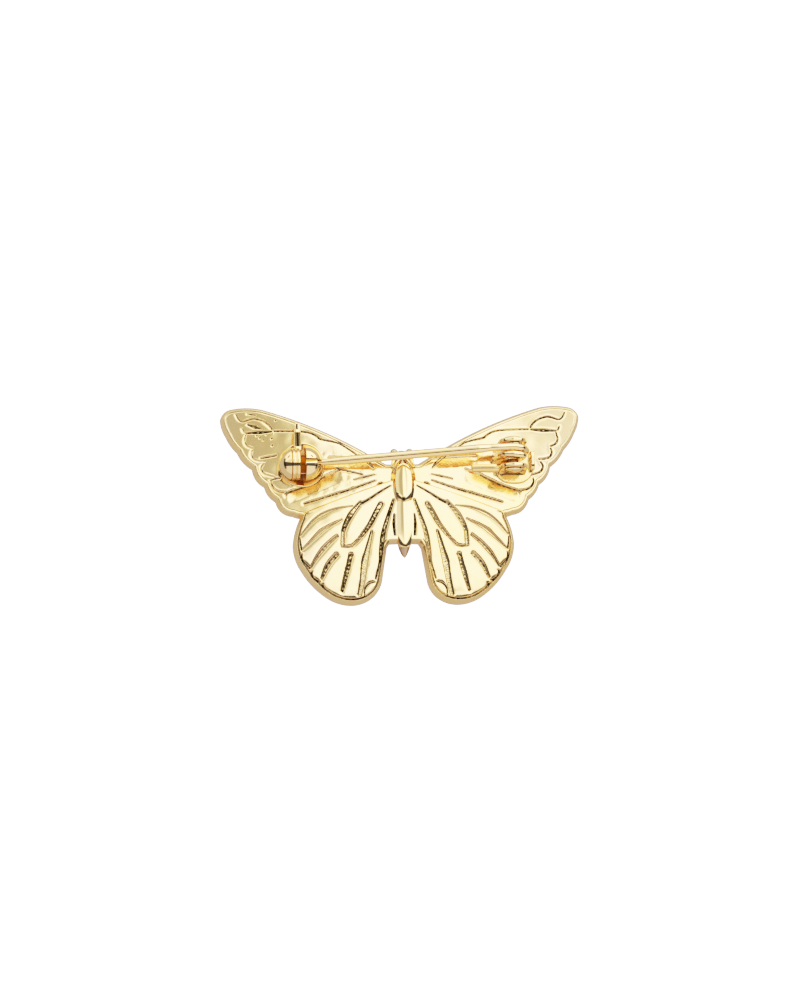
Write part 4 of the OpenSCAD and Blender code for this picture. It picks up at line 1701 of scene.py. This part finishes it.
@dataclass
class Studio:
    """Camera, pale table and the soft white light with the dim places that the metal mirrors.

    Attributes:
        lean_x: Lean of the view to the left, in degrees.
        lean_y: Lean of the view towards the tail, in degrees.
        roll: Turn of the picture, in degrees.
        scale: Pixels for each millimetre.
        aim: The point that lands at the pixel, in millimetres.
        pixel: Its place in the picture.
        picture: Width and height of the picture.
        lens: Focal length in millimetres.
        sensor: Width of the sensor in millimetres.
        light: Strength of the sky.
        paper: Strength of the table and of the sky as the camera sees them.
        mirrored: Strength of the table as the metal mirrors it.
        table_half: Half the table's width in metres.
        table_z: Height of the table in metres.
        table_tone: Colour of the table.
        table_glow: Colour of its own light.
        sky_tint: Colour of the sky.
        low_sky_tint: Colour of the sky low on the tail's side.
        strip_lean: Lean of the dark strip's plane, in degrees.
    """

    lean_x: float = 6.5
    lean_y: float = 10.2
    roll: float = 0.5
    scale: float = 7.86
    aim: Triple = (0.0, 0.0, 0.9)
    pixel: tuple[float, float] = (402.2, 506.2)
    picture: tuple[int, int] = (800, 1000)
    lens: float = 300.0
    sensor: float = 36.0
    light: float = 2.6
    paper: float = 3.2
    mirrored: float = 0.45
    table_half: float = 1.5
    table_z: float = -0.00002
    table_tone: tuple[float, ...] = (0.2, 0.19, 0.2, 1)
    table_glow: tuple[float, ...] = (1.0, 0.93, 1.0, 1)
    sky_tint: tuple[float, ...] = (1.0, 0.98, 1.0, 1)
    low_sky_tint: tuple[float, ...] = (1.0, 0.9, 1.0, 1)
    strip_lean: float = 12.5

    PATCHES = (
        Patch(18.5, 13.0, (5.2, 6.0), 0.35, 0.48),
        Patch(-57.0, 57.0, (7.0, 7.0), 0.2, 0.96),
        Patch(52.0, 55.0, (7.0, 7.0), 0.2, 0.96),
    )
    TONES = ((0.0, 0.0), (0.3, 0.295), (0.565, 0.55), (0.85, 0.70), (1.16, 0.81), (1.5, 0.885),
             (1.8, 0.94), (2.3, 0.975), (3.0, 1.0))

    def camera(self) -> None:
        """Places the camera far off on the photograph's line of view."""
        lean = [-math.tan(math.radians(self.lean_x)), -math.tan(math.radians(self.lean_y)), 1.0]
        back = unit(np.array(lean))
        right = unit(np.array([1.0, 0, 0]) - back[0] * back)
        up = np.cross(back, right)
        c, s = math.cos(math.radians(self.roll)), math.sin(math.radians(self.roll))
        right, up = c * right - s * up, s * right + c * up
        off = (np.array(self.pixel) - np.array(self.picture) / 2) / self.scale
        distance = self.picture[1] / self.scale * self.lens / self.sensor
        place = (np.array(self.aim) - off[0] * right + off[1] * up + back * distance) * MM
        data = bpy.data.cameras.new("camera")
        data.lens, data.sensor_width, data.sensor_fit = self.lens, self.sensor, "AUTO"
        data.clip_start, data.clip_end = 0.05, 20.0
        made = bpy.data.objects.new("camera", data)
        bpy.context.scene.collection.objects.link(made)
        pose = np.eye(4)
        pose[:3] = np.stack([right, up, back, place], axis=1)
        made.matrix_world = Matrix(pose.tolist())
        bpy.context.scene.camera = made

    def table(self) -> None:
        """Lays the pale table under the brooch."""
        mesh = bpy.data.meshes.new("table")
        square = ((-1, -1), (1, -1), (1, 1), (-1, 1))
        corner_points = [(x * self.table_half, y * self.table_half, self.table_z) for x, y in square]
        mesh.from_pydata(corner_points, [], [(0, 1, 2, 3)])
        top = bpy.data.objects.new("table", mesh)
        bpy.context.scene.collection.objects.link(top)
        material = bpy.data.materials.new("table_white")
        material.use_nodes = True
        n = Nodes(material.node_tree)
        seen = n.add("ShaderNodeLightPath").outputs["Is Camera Ray"]
        paint = n.add(
            "ShaderNodeBsdfPrincipled", in_Base_Color=self.table_tone, in_Roughness=0.9,
            in_Specular_IOR_Level=0.0, in_Emission_Color=self.table_glow,
            in_Emission_Strength=n.ramp(seen, 0.0, 1.0, self.mirrored, self.paper),
        )
        n.add("ShaderNodeOutputMaterial", in_Surface=paint.outputs["BSDF"])
        mesh.materials.append(material)

    def sky(self) -> None:
        """Paints the light round the brooch.

        In the plane that touches the zenith, with u = x / z and v = y / z, the level is white times
        the dimming of oval patches, of a broad dusk on the left that is deepest just left of the
        zenith, of a dark strip beside the camera, of the lower sky below the strip, and of both ends.
        """
        world = bpy.data.worlds.new("studio_light")
        bpy.context.scene.world = world
        world.use_nodes = True
        n = Nodes(world.node_tree)
        way = n.add("ShaderNodeTexCoord").outputs["Generated"]
        x, y, z = n.add("ShaderNodeSeparateXYZ", in_0=way).outputs
        height = n.math("MAXIMUM", z, 0.02)
        u, v = n.math("DIVIDE", x, height), n.math("DIVIDE", y, height)
        patches = [patch.light(n, u, v) for patch in self.PATCHES]
        dusk = n.math("MAXIMUM", n.ramp(v, 0.045, 0.1, 0.85, 0.0), n.ramp(v, 0.33, 0.55, 0.0, 0.75))
        dusk = n.math("MAXIMUM", dusk, n.ramp(u, -0.4, -0.2, 0.5, 0.24))
        dusk = n.plus(dusk, n.times(n.without(dusk), n.ramp(u, -0.01, 0.05)))
        low = n.ramp(v, -0.55, -0.40, 0.5, 1.0)
        lean = math.radians(self.strip_lean)
        over = n.math("ABSOLUTE", n.plus(n.times(y, math.cos(lean)), n.times(z, math.sin(lean))))
        strip = n.times(n.ramp(over, 0.185, 0.23, 0.96, 0.0), n.ramp(z, 0.02, 0.1))
        ends = n.times(n.ramp(n.math("ABSOLUTE", x), 0.8, 0.92), n.ramp(z, 0.35, 0.2), 0.9)
        level = n.times(self.light, *patches, dusk, low, n.without(strip), n.without(ends))
        tint = n.add(
            "ShaderNodeMix", data_type="RGBA",
            in_A=self.sky_tint, in_B=self.low_sky_tint, in_Factor=n.ramp(v, -0.3, -0.5),
        )
        light = n.add("ShaderNodeBackground", in_Strength=level, in_Color=tint.outputs["Result"])
        plain = n.add("ShaderNodeBackground", in_Strength=self.paper, in_Color=(1, 1, 1, 1))
        seen = n.add("ShaderNodeLightPath").outputs["Is Camera Ray"]
        mix = n.add("ShaderNodeMixShader", in_0=seen, in_1=light.outputs[0], in_2=plain.outputs[0])
        n.add("ShaderNodeOutputWorld", in_Surface=mix.outputs[0])

    def film(self) -> None:
        """Sets the picture's tones: a curve that keeps the dark half and presses the bright end."""
        view = bpy.context.scene.view_settings
        view.view_transform = "Standard"
        view.use_curve_mapping = True
        curves = view.curve_mapping
        top = self.TONES[-1][0]
        curves.white_level = (top, top, top)
        for light, shown in self.TONES[1:-1]:
            curves.curves[3].points.new(light / top, shown)
        curves.update()

    def build(self) -> None:
        """Sets camera, table and light."""
        self.camera()
        self.table()
        self.sky()
        self.film()


def main() -> None:
    """Builds the brooch and its setting, and logs how many faces each piece has."""
    logging.basicConfig(level=logging.INFO, format="%(message)s")
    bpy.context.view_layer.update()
    Studio().build()
    group = plating_group()
    cast = GoldFinish("cast_gold", bumps=1.6e-6).build(group)
    polished = GoldFinish("polished_gold", gloss=0.06, bumps=0.3e-6).build(group)
    wire = GoldFinish("wire_gold", gloss=0.08, bumps=0.3e-6).build(group)
    # Gold whose recess tone is an orange painted shade, for the gaps of catch and hinge.
    deep = GoldFinish("gold_with_orange_shade", recess=(0.3, 0.075, 0.001), gloss=0.06, bumps=0.3e-6).build(group)
    # A darker copy of the gold, which paints shade on the body's core and the eyes.
    dark = GoldFinish("shaded_gold", tone=(0.45, 0.36, 0.22), gloss=0.2, bumps=1.5e-6).build(group)
    Wings().build(cast)
    InsectBody().build(polished, dark)
    Catch().build(polished, deep)
    Hinge().build(polished, deep, cast)
    PinStem().build(wire)


if __name__ == "__main__":
    main()
